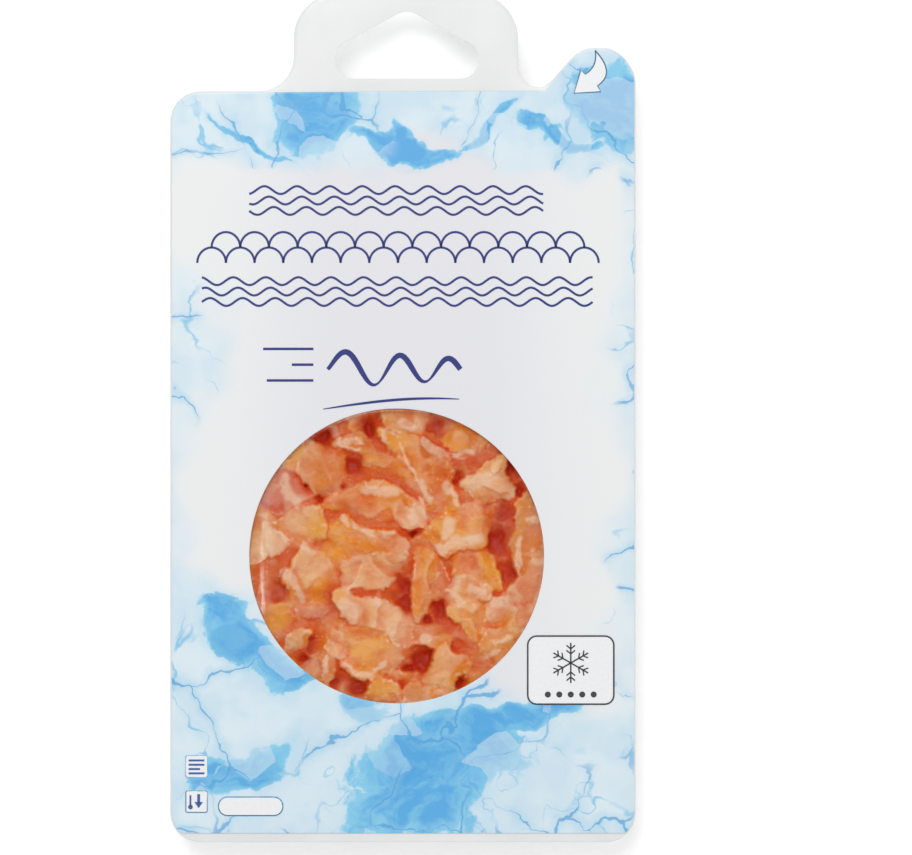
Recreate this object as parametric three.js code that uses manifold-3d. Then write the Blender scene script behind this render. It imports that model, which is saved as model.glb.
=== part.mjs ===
// Retail pack of smoked salmon trimmings: a thermoformed plastic tray with a hang tab and
// a peel ear, filled with cut pieces of salmon and closed by a printed lid film that has a
// round clear window.
//
// Millimetres, +Z up. The pack lies on the tray's floor with its printed face up and the
// hang tab towards +Y. The origin lies on the floor, below the middle of the whole outline.

import * as THREE from "three";
import { mergeVertices } from "three/addons/utils/BufferGeometryUtils.js";
import Module from "manifold-3d";

const wasm = await Module();
wasm.setup();

// ---------------------------------------------------------------- driving dimensions

const ARC_STEPS = 6;
const ROUND_STEPS = 64;

const BODY = { width: 130, top: 91.15, bottom: -118.5, corner: 8.4 };

const TAB = { centre: 0.8, halfWidth: 31.3, top: 118.5, corner: 12.5, flare: 9.8 };

// The hang hole is a rounded house shape: two sloping sides over a flat foot.
const SLOT = {
  centre: 1,
  halfWidth: 19.95,
  apex: 114.1,
  shoulder: 103.2,
  foot: 94.65,
  apexRadius: 5.6,
  shoulderRadius: 3.9,
  footRadius: 5,
};

// The peel ear rises from a valley beside the tab, up a slanted flank, to a flat peak.
const EAR = {
  valleyX: 38.2,
  valleyY: 92.3,
  valleyTurnX: 39.8,
  flankLow: [41.6, 94.4],
  flankHigh: [45.8, 99.2],
  peak: 103.3,
  peakTurnX: 49.2,
  peakStart: 53.3,
  peakEnd: 56.6,
  shoulderX: 60,
  shoulderY: 98.1,
  low: 93.7,
};

const TRAY = {
  depth: 14,
  sheet: 0.75,
  flangeSide: 9,
  flangeFoot: 10,
  flangeHead: 12,
  mouthCorner: 14,
  draft: 3,
  floorFillet: 4,
  lipWidth: 0.9,
  lipDrop: 1.5,
};

// The film ends flush with the body's top line, on a straight line short of the foot, and
// a little inside the sides.
const LID = { thickness: 0.3, edge: 0.5, footMargin: 2.6 };
const WINDOW = { x: -1.77, y: -38.56, radius: 41.1 };

const GAP = 0.3;

// The filling is one mass that comes nearly up to the film, with a shallow well under the
// window where single trimmings lie on it.
const FILLING = { headroom: 1, wellRadius: 46, wellDepth: 6.5 };

// ---------------------------------------------------------------- solids

function solidOf(geometry) {
  const bare = geometry.clone();
  bare.deleteAttribute("normal");
  bare.deleteAttribute("uv");
  const merged = mergeVertices(bare, 1e-4);
  return new wasm.Manifold(
    new wasm.Mesh({
      numProp: 3,
      vertProperties: Float32Array.from(merged.attributes.position.array),
      triVerts: Uint32Array.from(merged.index.array),
    }),
  );
}

function geometryOf(solid) {
  const mesh = solid.getMesh();
  const geometry = new THREE.BufferGeometry();
  geometry.setAttribute("position", new THREE.BufferAttribute(mesh.vertProperties, 3));
  geometry.setIndex(new THREE.BufferAttribute(mesh.triVerts, 1));
  geometry.computeVertexNormals();
  return geometry;
}

// Prism of a flat outline between two heights.
function prism(shape, low, high, curveSegments = ARC_STEPS) {
  const settings = { depth: high - low, bevelEnabled: false, curveSegments };
  return solidOf(new THREE.ExtrudeGeometry(shape, settings).translate(0, 0, low));
}

// Upright round column under the window.
function column(radius, low, high) {
  const circle = new THREE.Shape().absarc(WINDOW.x, WINDOW.y, radius, 0, 2 * Math.PI, false);
  return prism(circle, low, high, ROUND_STEPS);
}

// Closed solid through a row of rings of equal length, with a fan at either end. Each ring
// runs counterclockwise about the direction in which the rings follow each other.
function loft(rings) {
  const count = rings[0].length;
  const points = rings.flat();
  const faces = [];
  for (let k = 0; k + 1 < rings.length; k++) {
    for (let i = 0; i < count; i++) {
      const here = k * count + i;
      const next = k * count + ((i + 1) % count);
      faces.push(here, next, next + count, here, next + count, here + count);
    }
  }
  const middle = (ring) =>
    ring.reduce((sum, p) => sum.add(p), new THREE.Vector3()).divideScalar(count);
  const first = points.push(middle(rings[0])) - 1;
  const last = points.push(middle(rings.at(-1))) - 1;
  const top = (rings.length - 1) * count;
  for (let i = 0; i < count; i++) {
    const next = (i + 1) % count;
    faces.push(first, next, i, last, top + i, top + next);
  }
  const geometry = new THREE.BufferGeometry().setFromPoints(points);
  geometry.setIndex(faces);
  return solidOf(geometry);
}

// Polygon with a radius at each corner. Corners run counterclockwise as [x, y, radius].
function roundedPolygon(corners) {
  const shape = new THREE.Shape();
  corners.forEach(([x, y, radius], i) => {
    const corner = new THREE.Vector2(x, y);
    const before = new THREE.Vector2(...corners.at(i - 1).slice(0, 2)).sub(corner).normalize();
    const after = new THREE.Vector2(...corners[(i + 1) % corners.length].slice(0, 2))
      .sub(corner)
      .normalize();
    const halfAngle = Math.acos(before.dot(after)) / 2;
    const inward = before.clone().add(after).normalize();
    const centre = corner.clone().addScaledVector(inward, radius / Math.sin(halfAngle));
    const start = corner.clone().addScaledVector(before, radius / Math.tan(halfAngle));
    const end = corner.clone().addScaledVector(after, radius / Math.tan(halfAngle));
    const angleOf = (p) => Math.atan2(p.y - centre.y, p.x - centre.x);
    if (i === 0) shape.moveTo(start.x, start.y);
    else shape.lineTo(start.x, start.y);
    shape.absarc(centre.x, centre.y, radius, angleOf(start), angleOf(end), false);
  });
  shape.closePath();
  return shape;
}

// Outline moved inwards by a distance, point by point along its normals.
function insetOutline(shape, distance) {
  const points = shape.getPoints(ARC_STEPS);
  if (points[0].distanceTo(points.at(-1)) < 1e-6) points.pop();
  const moved = points.map((p, i) => {
    const before = points.at(i - 1);
    const after = points[(i + 1) % points.length];
    const along = after.clone().sub(before).normalize();
    return new THREE.Vector2(p.x - along.y * distance, p.y + along.x * distance);
  });
  return new THREE.Shape(moved);
}

// ---------------------------------------------------------------- outlines

const HALF = BODY.width / 2;

// Draws the ear from the body's right side to the foot of its flank, inset all round.
function drawEar(shape, inset) {
  const side = HALF - inset;
  const peak = EAR.peak - inset;
  const rise = EAR.flankHigh[1] - EAR.flankLow[1];
  const run = EAR.flankHigh[0] - EAR.flankLow[0];
  const reach = Math.hypot(rise, run);
  const flank = ([x, y]) => [x + (rise / reach) * inset, y - (run / reach) * inset];
  shape.lineTo(side, EAR.low);
  shape.bezierCurveTo(side, EAR.shoulderY, EAR.shoulderX, peak, EAR.peakEnd, peak);
  shape.lineTo(EAR.peakStart, peak);
  shape.quadraticCurveTo(EAR.peakTurnX, peak, ...flank(EAR.flankHigh));
  shape.lineTo(...flank(EAR.flankLow));
}

function trayOutline() {
  const { corner, top, bottom } = BODY;
  const right = TAB.centre + TAB.halfWidth;
  const left = TAB.centre - TAB.halfWidth;
  const shoulder = TAB.top - TAB.corner;
  const flareTop = top + TAB.flare;
  const shape = new THREE.Shape();
  shape.moveTo(-HALF + corner, bottom);
  shape.lineTo(HALF - corner, bottom);
  shape.absarc(HALF - corner, bottom + corner, corner, -Math.PI / 2, 0, false);
  drawEar(shape, 0);
  shape.quadraticCurveTo(EAR.valleyTurnX, EAR.valleyY, EAR.valleyX, EAR.valleyY);
  shape.quadraticCurveTo(right, EAR.valleyY, right, flareTop);
  shape.lineTo(right, shoulder);
  shape.absarc(right - TAB.corner, shoulder, TAB.corner, 0, Math.PI / 2, false);
  shape.lineTo(left + TAB.corner, TAB.top);
  shape.absarc(left + TAB.corner, shoulder, TAB.corner, Math.PI / 2, Math.PI, false);
  shape.lineTo(left, flareTop);
  shape.absarc(left - TAB.flare, flareTop, TAB.flare, 0, -Math.PI / 2, true);
  shape.lineTo(-HALF + corner, top);
  shape.absarc(-HALF + corner, top - corner, corner, Math.PI / 2, Math.PI, false);
  shape.lineTo(-HALF, bottom + corner);
  shape.absarc(-HALF + corner, bottom + corner, corner, Math.PI, 1.5 * Math.PI, false);
  shape.closePath();
  return shape;
}

function slotOutline() {
  const { centre, halfWidth, shoulderRadius, footRadius } = SLOT;
  return roundedPolygon([
    [centre, SLOT.apex, SLOT.apexRadius],
    [centre - halfWidth, SLOT.shoulder, shoulderRadius],
    [centre - halfWidth, SLOT.foot, footRadius],
    [centre + halfWidth, SLOT.foot, footRadius],
    [centre + halfWidth, SLOT.shoulder, shoulderRadius],
  ]);
}

function lidOutline() {
  const centreX = HALF - BODY.corner;
  const lowCentre = BODY.bottom + BODY.corner;
  const highCentre = BODY.top - BODY.corner;
  const radius = BODY.corner - LID.edge;
  const foot = Math.asin((BODY.corner - LID.footMargin) / radius);
  const shape = new THREE.Shape();
  shape.moveTo(centreX + radius * Math.cos(foot), BODY.bottom + LID.footMargin);
  shape.absarc(centreX, lowCentre, radius, -foot, 0, false);
  drawEar(shape, LID.edge);
  shape.lineTo(EAR.valleyTurnX, BODY.top);
  shape.lineTo(-centreX, BODY.top);
  shape.absarc(-centreX, highCentre, radius, Math.PI / 2, Math.PI, false);
  shape.lineTo(-centreX - radius, lowCentre);
  shape.absarc(-centreX, lowCentre, radius, Math.PI, Math.PI + foot, false);
  shape.closePath();
  return shape;
}

// ---------------------------------------------------------------- tray

const MOUTH = {
  halfX: HALF - TRAY.flangeSide,
  low: BODY.bottom + TRAY.flangeFoot,
  high: BODY.top - TRAY.flangeHead,
};

// Ring round the cavity at one height, inset from the mouth.
function cavityRing(inset, z) {
  const radius = TRAY.mouthCorner - inset;
  const x = MOUTH.halfX - inset - radius;
  const y = [MOUTH.low + inset + radius, MOUTH.high - inset - radius];
  const ring = [];
  const corners = [
    [x, y[0], -90],
    [x, y[1], 0],
    [-x, y[1], 90],
    [-x, y[0], 180],
  ];
  for (const [cx, cy, start] of corners) {
    for (let i = 0; i <= ARC_STEPS; i++) {
      const angle = THREE.MathUtils.degToRad(start + (90 * i) / ARC_STEPS);
      const reach = [cx + radius * Math.cos(angle), cy + radius * Math.sin(angle)];
      ring.push(new THREE.Vector3(...reach, z));
    }
  }
  return ring;
}

// Solid of the cavity's form, up to a height. Its wall stands off the cavity's own inner
// face by shift: outwards for the tray's outer face, inwards for what fills the tray.
function cavityForm(shift, top) {
  const centreInset = TRAY.draft + TRAY.floorFillet;
  const centreZ = TRAY.sheet + TRAY.floorFillet;
  const radius = TRAY.floorFillet + shift;
  const rings = [];
  for (let i = 0; i <= ARC_STEPS; i++) {
    const angle = (Math.PI / 2) * (1 - i / ARC_STEPS);
    const inset = centreInset - radius * Math.cos(angle);
    rings.push(cavityRing(inset, centreZ - radius * Math.sin(angle)));
  }
  const rise = (top - centreZ) / (TRAY.depth - centreZ);
  rings.push(cavityRing(TRAY.draft * (1 - rise) - shift, top));
  return loft(rings);
}

function tray() {
  const outline = trayOutline();
  const flangeLow = TRAY.depth - TRAY.sheet;
  const lipLow = TRAY.depth - TRAY.lipDrop;
  const through = 1;
  const rim = prism(outline, lipLow, TRAY.depth);
  const underRim = prism(insetOutline(outline, TRAY.lipWidth), lipLow - through, flangeLow);
  const shell = cavityForm(TRAY.sheet, TRAY.depth - TRAY.sheet / 2);
  const hollow = cavityForm(0, TRAY.depth + through);
  const slot = prism(slotOutline(), lipLow - through, TRAY.depth + through);
  return rim.subtract(underRim).add(shell).subtract(hollow).subtract(slot);
}

// ---------------------------------------------------------------- lid

function lidFilm() {
  const sheet = prism(lidOutline(), TRAY.depth, TRAY.depth + LID.thickness);
  return sheet.subtract(column(WINDOW.radius, TRAY.depth - 1, TRAY.depth + 1));
}

function windowFilm() {
  return column(WINDOW.radius - GAP, TRAY.depth, TRAY.depth + LID.thickness);
}

// ---------------------------------------------------------------- salmon trimmings

// A cut piece's sections along it: how many, the share of its full width and thickness at
// s from -1 to 1, how square they are (0 is a square, 1 an oval), and how many degrees the
// piece bends.
const CUTS = {
  block: {
    stations: 3,
    wide: (s) => 1 - 0.14 * s ** 4,
    tall: (s) => 1 - 0.2 * s ** 4,
    roundness: 0.5,
    bend: 0,
  },
  slab: {
    stations: 4,
    wide: (s) => 1 - 0.35 * s ** 2,
    tall: (s) => 1 - 0.45 * s ** 2,
    roundness: 0.6,
    bend: 0,
  },
  wedge: {
    stations: 3,
    wide: (s) => 0.6 - 0.44 * s,
    tall: (s) => 0.75 - 0.3 * s,
    roundness: 0.6,
    bend: 0,
  },
  lobe: {
    stations: 5,
    wide: (s) => 0.82 + 0.18 * Math.cos(5 * s) - 0.3 * s ** 2,
    tall: (s) => 1 - 0.4 * s ** 2,
    roundness: 0.8,
    bend: 0,
  },
  blade: {
    stations: 5,
    wide: (s) => 1 - 0.8 * s ** 2,
    tall: (s) => 1 - 0.5 * s ** 2,
    roundness: 0.9,
    bend: 0,
  },
  curl: {
    stations: 6,
    wide: (s) => 1 - 0.45 * s ** 2,
    tall: (s) => 1 - 0.4 * s ** 2,
    roundness: 0.8,
    bend: 75,
  },
};

const SIDES = 6;
const UNEVENNESS = 0.15;

// Repeatable uneven number from -1 to 1.
function uneven(seed, index) {
  const wave = Math.sin(seed * 12.9898 + index * 78.233) * 43758.5453;
  return 2 * (wave - Math.floor(wave)) - 1;
}

// The trimmings under the window, the lowest first: cut, x and y from the window's
// centre, length, width and thickness, heading in degrees from +X, pitch and roll in
// degrees, and how far the highest point lies below the film.
const TRIMMINGS = [
  ["slab", 12.1, 37.3, 12, 6, 5, 5, 0, 10, 4],
  ["slab", 33.2, 20.7, 14, 8, 5, -65, 0, -8, 4],
  ["block", 29.7, 8.2, 20, 8.5, 6, -80, 6, 12, 3.3],
  ["block", 28.8, -2.5, 9, 6, 5, -60, 0, 10, 3.6],
  ["slab", -32.4, -5.5, 16, 9, 5, 85, 4, 10, 3.2],
  ["slab", -24.9, -23.7, 15, 10, 5, 20, 0, 8, 3],
  ["slab", -9, -23.1, 17, 11, 5, -10, 0, -6, 2.8],
  ["slab", 11.5, -15.7, 11, 7, 5, -30, 6, 0, 3],
  ["slab", -13, -36.2, 11, 7, 5, 10, 0, 8, 2.6],
  ["slab", 21.2, 27, 14, 8, 5, 20, 4, -12, 2],
  ["slab", 25.8, 31.5, 10, 6, 5, -40, 0, 8, 2.4],
  ["slab", 1.8, 36.4, 15, 8, 5, 0, 5, 10, 1.5],
  ["block", -11, 37.2, 8.5, 5, 5, 12, 6, 0, 1.5],
  ["slab", 8.8, 33.6, 10, 7, 5, -60, 0, 12, 2],
  ["slab", -29.8, 18.5, 14, 12, 6, -45, 5, 8, 1.4],
  ["slab", -18.7, -1.5, 13, 9, 5, -15, 5, 6, 2],
  ["block", -32, -18, 10, 8.5, 5, 30, 6, 6, 1.8],
  ["slab", -22.1, -32.2, 12, 8, 5, -35, 6, 8, 1.4],
  ["slab", 28.6, -28.2, 14, 6.5, 5, 38, 4, 10, 1.5],
  ["slab", 16.7, -37.3, 11, 6, 5, -8, 0, 10, 1.6],
  ["slab", 22.9, -32.2, 9.5, 7.5, 5, 20, 6, 6, 1.1],
  ["block", 12.4, 26.4, 10, 8, 5, -60, 8, 0, 1.2],
  ["block", 23.5, 16.4, 9, 7, 5, -20, 5, 6, 1.5],
  ["slab", 36.6, 4.8, 15, 9, 6, 80, 4, 14, 0.8],
  ["slab", 36, -6.6, 16, 9, 6, 65, 6, 10, 1],
  ["slab", 36.4, -16.8, 10, 7, 5, 60, 4, 8, 1.1],
  ["block", -20.6, 24.4, 13.5, 12, 8, 100, 8, 5, 0.8],
  ["slab", -35.4, 6.5, 17, 9, 5, -68, 0, 5, 0.4],
  ["block", -30.3, 8.2, 10, 8.5, 5, 15, 6, 4, 0.8],
  ["block", -24.1, 9.1, 10, 7.4, 5, 80, 5, 8, 0.6],
  ["slab", -5.8, 24.5, 28, 8.5, 6, -31, 4, 8, 0.8],
  ["wedge", -12.6, 31.2, 11, 7, 4, 172, 6, 6, 0.8],
  ["block", 5.6, 26.2, 15, 9, 6, -62, 5, 12, 0.4],
  ["wedge", 7.6, 17.4, 10, 7, 4.5, -60, 6, 8, 0.8],
  ["slab", -4.8, 14.2, 24, 11.5, 6, -8, 5, 6, 0.5],
  ["lobe", -17, 13.2, 10, 7, 5, 15, 6, 8, 1.2],
  ["block", 13.2, 17, 10, 7, 5, -75, 8, 6, 0.7],
  ["wedge", 4.9, 10.4, 9, 7, 4, -50, 8, 6, 0.4],
  ["lobe", 17.5, 32.6, 9, 7.5, 5, 20, 4, 6, 0.8],
  ["block", 25.2, 21.2, 14, 10, 7, -18, 8, 8, 0.4],
  ["slab", -9.2, 3.8, 25, 13.5, 6, -12, 5, 6, 0.6],
  ["slab", -7.3, -5.4, 17, 10, 5, -4, 5, 14, 0.4],
  ["wedge", 2.2, 1.4, 11, 6, 4, -12, 6, 8, 0.8],
  ["block", -23.8, -5.2, 17, 12, 6.5, -72, 6, 10, 0.4],
  ["slab", -23.5, -14.9, 11, 5, 4, 2, 0, 8, 1.4],
  ["block", 18.6, 7.6, 18, 12, 6.5, 17, 5, 12, 0.4],
  ["slab", 11.8, -7.2, 10, 4, 5, 85, 5, 10, 1.4],
  ["blade", 7, -6.6, 23, 6, 7, 88, 4, 10, 0.5],
  ["block", 20.9, -2.8, 12, 9.5, 6, 60, 6, 8, 0.6],
  ["lobe", 26.8, -6, 11, 6, 5, -62, 6, 8, 0.8],
  ["block", 20.1, -10, 13, 6.5, 5, 6, 6, 8, 0.5],
  ["wedge", 19.2, -16.6, 13, 11, 5, -62, 8, 8, 0.6],
  ["block", 28.3, -15.6, 11, 9, 5, -30, 6, 6, 0.6],
  ["slab", 31.8, -22.8, 15, 6.5, 5, 28, 5, 8, 0.9],
  ["slab", 26, -21.8, 10, 6, 5, 20, 6, 8, 1.2],
  ["curl", -6.6, -17.2, 26, 8.5, 6, -28, 4, 8, 0.4],
  ["curl", -7, -29.8, 23, 7, 5, 195, 5, 8, 0.8],
  ["slab", 2, -24.4, 12, 8, 5, -72, 5, 8, 0.8],
  ["wedge", -16.5, -25.1, 9, 6, 4, 80, 6, 8, 0.8],
  ["slab", -19.4, -29.6, 12, 5, 4.5, 75, 6, 8, 1],
  ["slab", 9.8, -22.3, 11, 6, 5, -20, 6, 6, 0.6],
  ["block", -27.1, -23, 6.5, 6, 5, 35, 8, 8, 0.7],
  ["wedge", 3.2, -33.5, 11, 5, 4, 165, 6, 8, 0.8],
  ["block", -3.9, -37.4, 9.5, 7, 5, 6, 6, 8, 0.6],
  ["block", 5.8, -38.3, 9, 6.5, 5, -20, 6, 6, 0.7],
  ["lobe", 13.8, -31.2, 13, 10.5, 7, 42, 5, 6, 0.4],
];

// One trimming: sections along its length, bent if its cut bends, then turned into place
// with its highest point at the stated distance below the film.
function trimming([cut, x, y, length, width, thick, heading, pitch, roll, sink], seed) {
  const { stations, wide, tall, roundness, bend } = CUTS[cut];
  const flatten = (value) => Math.sign(value) * Math.abs(value) ** roundness;
  const bendRadius = bend ? length / THREE.MathUtils.degToRad(bend) : 0;
  const rings = [];
  for (let k = 0; k < stations; k++) {
    const s = (2 * k) / (stations - 1) - 1;
    const swing = THREE.MathUtils.degToRad(-bend * s) / 2;
    const along = bend ? -bendRadius * Math.sin(swing) : (length / 2) * s;
    const aside = bendRadius * (Math.cos(swing) - 1);
    const ring = [];
    for (let i = 0; i < SIDES; i++) {
      const angle = (2 * Math.PI * (i + 0.5)) / SIDES;
      const swell = 1 + UNEVENNESS * uneven(seed + 1, k * SIDES + i);
      const across = (width / 2) * wide(s) * flatten(Math.cos(angle)) * swell;
      const up = (thick / 2) * tall(s) * flatten(Math.sin(angle)) * swell;
      const bent = [along - across * Math.sin(swing), aside + across * Math.cos(swing)];
      ring.push(new THREE.Vector3(...bent, up));
    }
    rings.push(ring);
  }
  const turn = new THREE.Euler(
    THREE.MathUtils.degToRad(roll),
    THREE.MathUtils.degToRad(pitch),
    THREE.MathUtils.degToRad(heading),
    "ZYX",
  );
  rings.flat().forEach((p) => p.applyEuler(turn));
  const highest = Math.max(...rings.flat().map((p) => p.z));
  const lift = TRAY.depth - sink - highest;
  const place = new THREE.Vector3(WINDOW.x + x, WINDOW.y + y, lift);
  rings.flat().forEach((p) => p.add(place));
  return loft(rings);
}

// Low trimmings in rows across the well, so that no bare floor shows between the others.
const FILLER = { pitch: 12, reach: 42, length: 13, width: 10, thick: 5, sink: 4.2 };

function fillerRows() {
  const rows = [];
  const steps = Math.floor(FILLER.reach / FILLER.pitch);
  for (let row = -steps; row <= steps; row++) {
    for (let step = -steps; step <= steps; step++) {
      const seed = rows.length + 500;
      const x = (step + (row % 2 ? 0.5 : 0)) * FILLER.pitch + 2 * uneven(seed, 1);
      const y = row * FILLER.pitch + 2 * uneven(seed, 2);
      if (Math.hypot(x, y) > FILLER.reach) continue;
      const heading = 180 * uneven(seed, 3);
      const tilt = 10 * uneven(seed, 4);
      const sink = FILLER.sink + 0.8 * uneven(seed, 5);
      const size = [FILLER.length, FILLER.width, FILLER.thick];
      rows.push(["block", x, y, ...size, heading, tilt, -tilt, sink]);
    }
  }
  return rows;
}

// The largest body alone, without the shells of sealed hollows or loose scraps.
function largestBody(solid) {
  const bodies = solid.decompose();
  return bodies.reduce((best, body) => (body.volume() > best.volume() ? body : best));
}

function salmon() {
  const top = TRAY.depth - FILLING.headroom;
  const well = column(FILLING.wellRadius, TRAY.depth - FILLING.wellDepth, TRAY.depth);
  const core = cavityForm(-GAP, top).subtract(well);
  const pieces = [...fillerRows(), ...TRIMMINGS].map((row, i) => trimming(row, i));
  return largestBody(pieces.reduce((heap, piece) => heap.add(piece), core));
}

// ---------------------------------------------------------------- assembly

function part(name, solid, look) {
  const mesh = new THREE.Mesh(geometryOf(solid), new THREE.MeshStandardMaterial(look));
  mesh.name = name;
  return mesh;
}

const pack = new THREE.Group();
pack.add(
  part("tray", tray(), { color: 0xe6e8e8, roughness: 0.35, metalness: 0 }),
  part("salmon", salmon(), { color: 0xd68850, roughness: 0.4, metalness: 0 }),
  part("lid_film", lidFilm(), { color: 0xdfe9f0, roughness: 0.3, metalness: 0 }),
  part("window_film", windowFilm(), {
    color: 0xffffff,
    roughness: 0.1,
    metalness: 0,
    transparent: true,
    opacity: 0.2,
  }),
);

export default pack;
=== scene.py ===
"""Looks of a retail pack of smoked salmon trimmings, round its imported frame.

Lengths in the geometry code are millimetres in the pack's own frame: +X to the right across
the printed face, +Y towards the hang tab, +Z up out of that face. They become metres where
a mesh is made.
"""

import math

import bmesh
import bpy
import numpy as np
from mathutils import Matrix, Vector
from mathutils.geometry import tessellate_polygon


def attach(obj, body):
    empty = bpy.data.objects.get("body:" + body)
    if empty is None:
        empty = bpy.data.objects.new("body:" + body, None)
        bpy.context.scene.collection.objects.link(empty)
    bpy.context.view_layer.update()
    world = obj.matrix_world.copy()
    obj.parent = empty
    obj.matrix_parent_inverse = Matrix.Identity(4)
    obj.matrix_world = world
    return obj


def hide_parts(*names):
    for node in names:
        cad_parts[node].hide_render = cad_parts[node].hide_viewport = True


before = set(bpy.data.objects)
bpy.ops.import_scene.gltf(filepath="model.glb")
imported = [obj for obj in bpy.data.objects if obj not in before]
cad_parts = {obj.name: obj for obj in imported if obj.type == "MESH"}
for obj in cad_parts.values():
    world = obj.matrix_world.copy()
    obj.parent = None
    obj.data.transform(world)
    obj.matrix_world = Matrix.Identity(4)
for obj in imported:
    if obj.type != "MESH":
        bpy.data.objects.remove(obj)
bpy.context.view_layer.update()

MM = 0.001

# ---------------------------------------------------------------- sizes, as in the solids

BODY_HALF = 65.0
BODY_TOP = 91.15
BODY_BOTTOM = -118.5
BODY_CORNER = 8.4

TAB_CENTRE, TAB_HALF, TAB_TOP, TAB_CORNER, TAB_FLARE = 0.8, 31.3, 118.5, 12.5, 9.8

SLOT_CENTRE, SLOT_HALF = 1.0, 19.95
SLOT_APEX, SLOT_SHOULDER, SLOT_FOOT = 114.1, 103.2, 94.65
SLOT_APEX_RADIUS, SLOT_SHOULDER_RADIUS, SLOT_FOOT_RADIUS = 5.6, 3.9, 5.0

EAR_VALLEY, EAR_VALLEY_TURN_X = (38.2, 92.3), 39.8
EAR_FLANK_LOW, EAR_FLANK_HIGH = (41.6, 94.4), (45.8, 99.2)
EAR_PEAK, EAR_PEAK_TURN_X, EAR_PEAK_START, EAR_PEAK_END = 103.3, 49.2, 53.3, 56.6
EAR_SHOULDER, EAR_LOW = (60.0, 98.1), 93.7

DEPTH, SHEET, DRAFT, FLOOR_FILLET = 14.0, 0.75, 3.0, 4.0
MOUTH_HALF_X, MOUTH_LOW, MOUTH_HIGH, MOUTH_CORNER = 56.0, -108.5, 79.15, 14.0
LIP_WIDTH, LIP_DROP = 0.9, 1.5

FILM, FILM_EDGE, FILM_FOOT_MARGIN = 0.3, 0.5, 2.6
WINDOW = np.array([-1.77, -38.56])
WINDOW_RADIUS = 41.1
WELL_RADIUS, WELL_DEPTH, HEADROOM, GAP = 46.0, 6.5, 1.0, 0.3

# ---------------------------------------------------------------- colours


def linear(*srgb):
    """A colour given as it looks, 0 to 255, as linear light."""
    c = np.array(srgb, float) / 255
    return tuple(np.where(c <= 0.04045, c / 12.92, ((c + 0.055) / 1.055) ** 2.4))


# ---------------------------------------------------------------- small tools


def smooth_step(low, high, x):
    t = np.clip((x - low) / (high - low), 0, 1)
    return t * t * (3 - 2 * t)


def lattice(cells, seed):
    """Repeatable numbers from 0 to 1, one for each whole-number cell."""
    i = cells.astype(np.int64)
    h = i[..., 0] * 73856093 ^ i[..., 1] * 19349663 ^ i[..., 2] * 83492791 ^ seed * 2654435761
    h = (h ^ (h >> 13)) * 1274126177 & 0xFFFFFFFF
    h = (h ^ (h >> 16)) * 2246822519 & 0xFFFFFFFF
    return ((h >> 8) & 0xFFFF) / 65535.0


def noise(points, size, seed):
    """Smooth noise from -1 to 1 that changes over about size."""
    p = points / size
    cell = np.floor(p)
    f = p - cell
    f = f * f * (3 - 2 * f)
    total = 0
    for corner in range(8):
        step = np.array([corner & 1, corner >> 1 & 1, corner >> 2])
        weight = np.prod(np.where(step == 1, f, 1 - f), axis=-1)
        total = total + weight * lattice(cell + step, seed)
    return 2 * total - 1


def mesh_object(name, points, faces, material, smooth=True):
    """A mesh piece from points in millimetres and faces as lists of point numbers."""
    mesh = bpy.data.meshes.new(name)
    mesh.from_pydata((np.asarray(points) * MM).tolist(), [], [list(map(int, f)) for f in faces])
    mesh.validate()
    mesh.polygons.foreach_set("use_smooth", [smooth] * len(mesh.polygons))
    mesh.materials.append(material)
    piece = bpy.data.objects.new(name, mesh)
    bpy.context.scene.collection.objects.link(piece)
    return piece


# ---------------------------------------------------------------- shader helper


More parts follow.
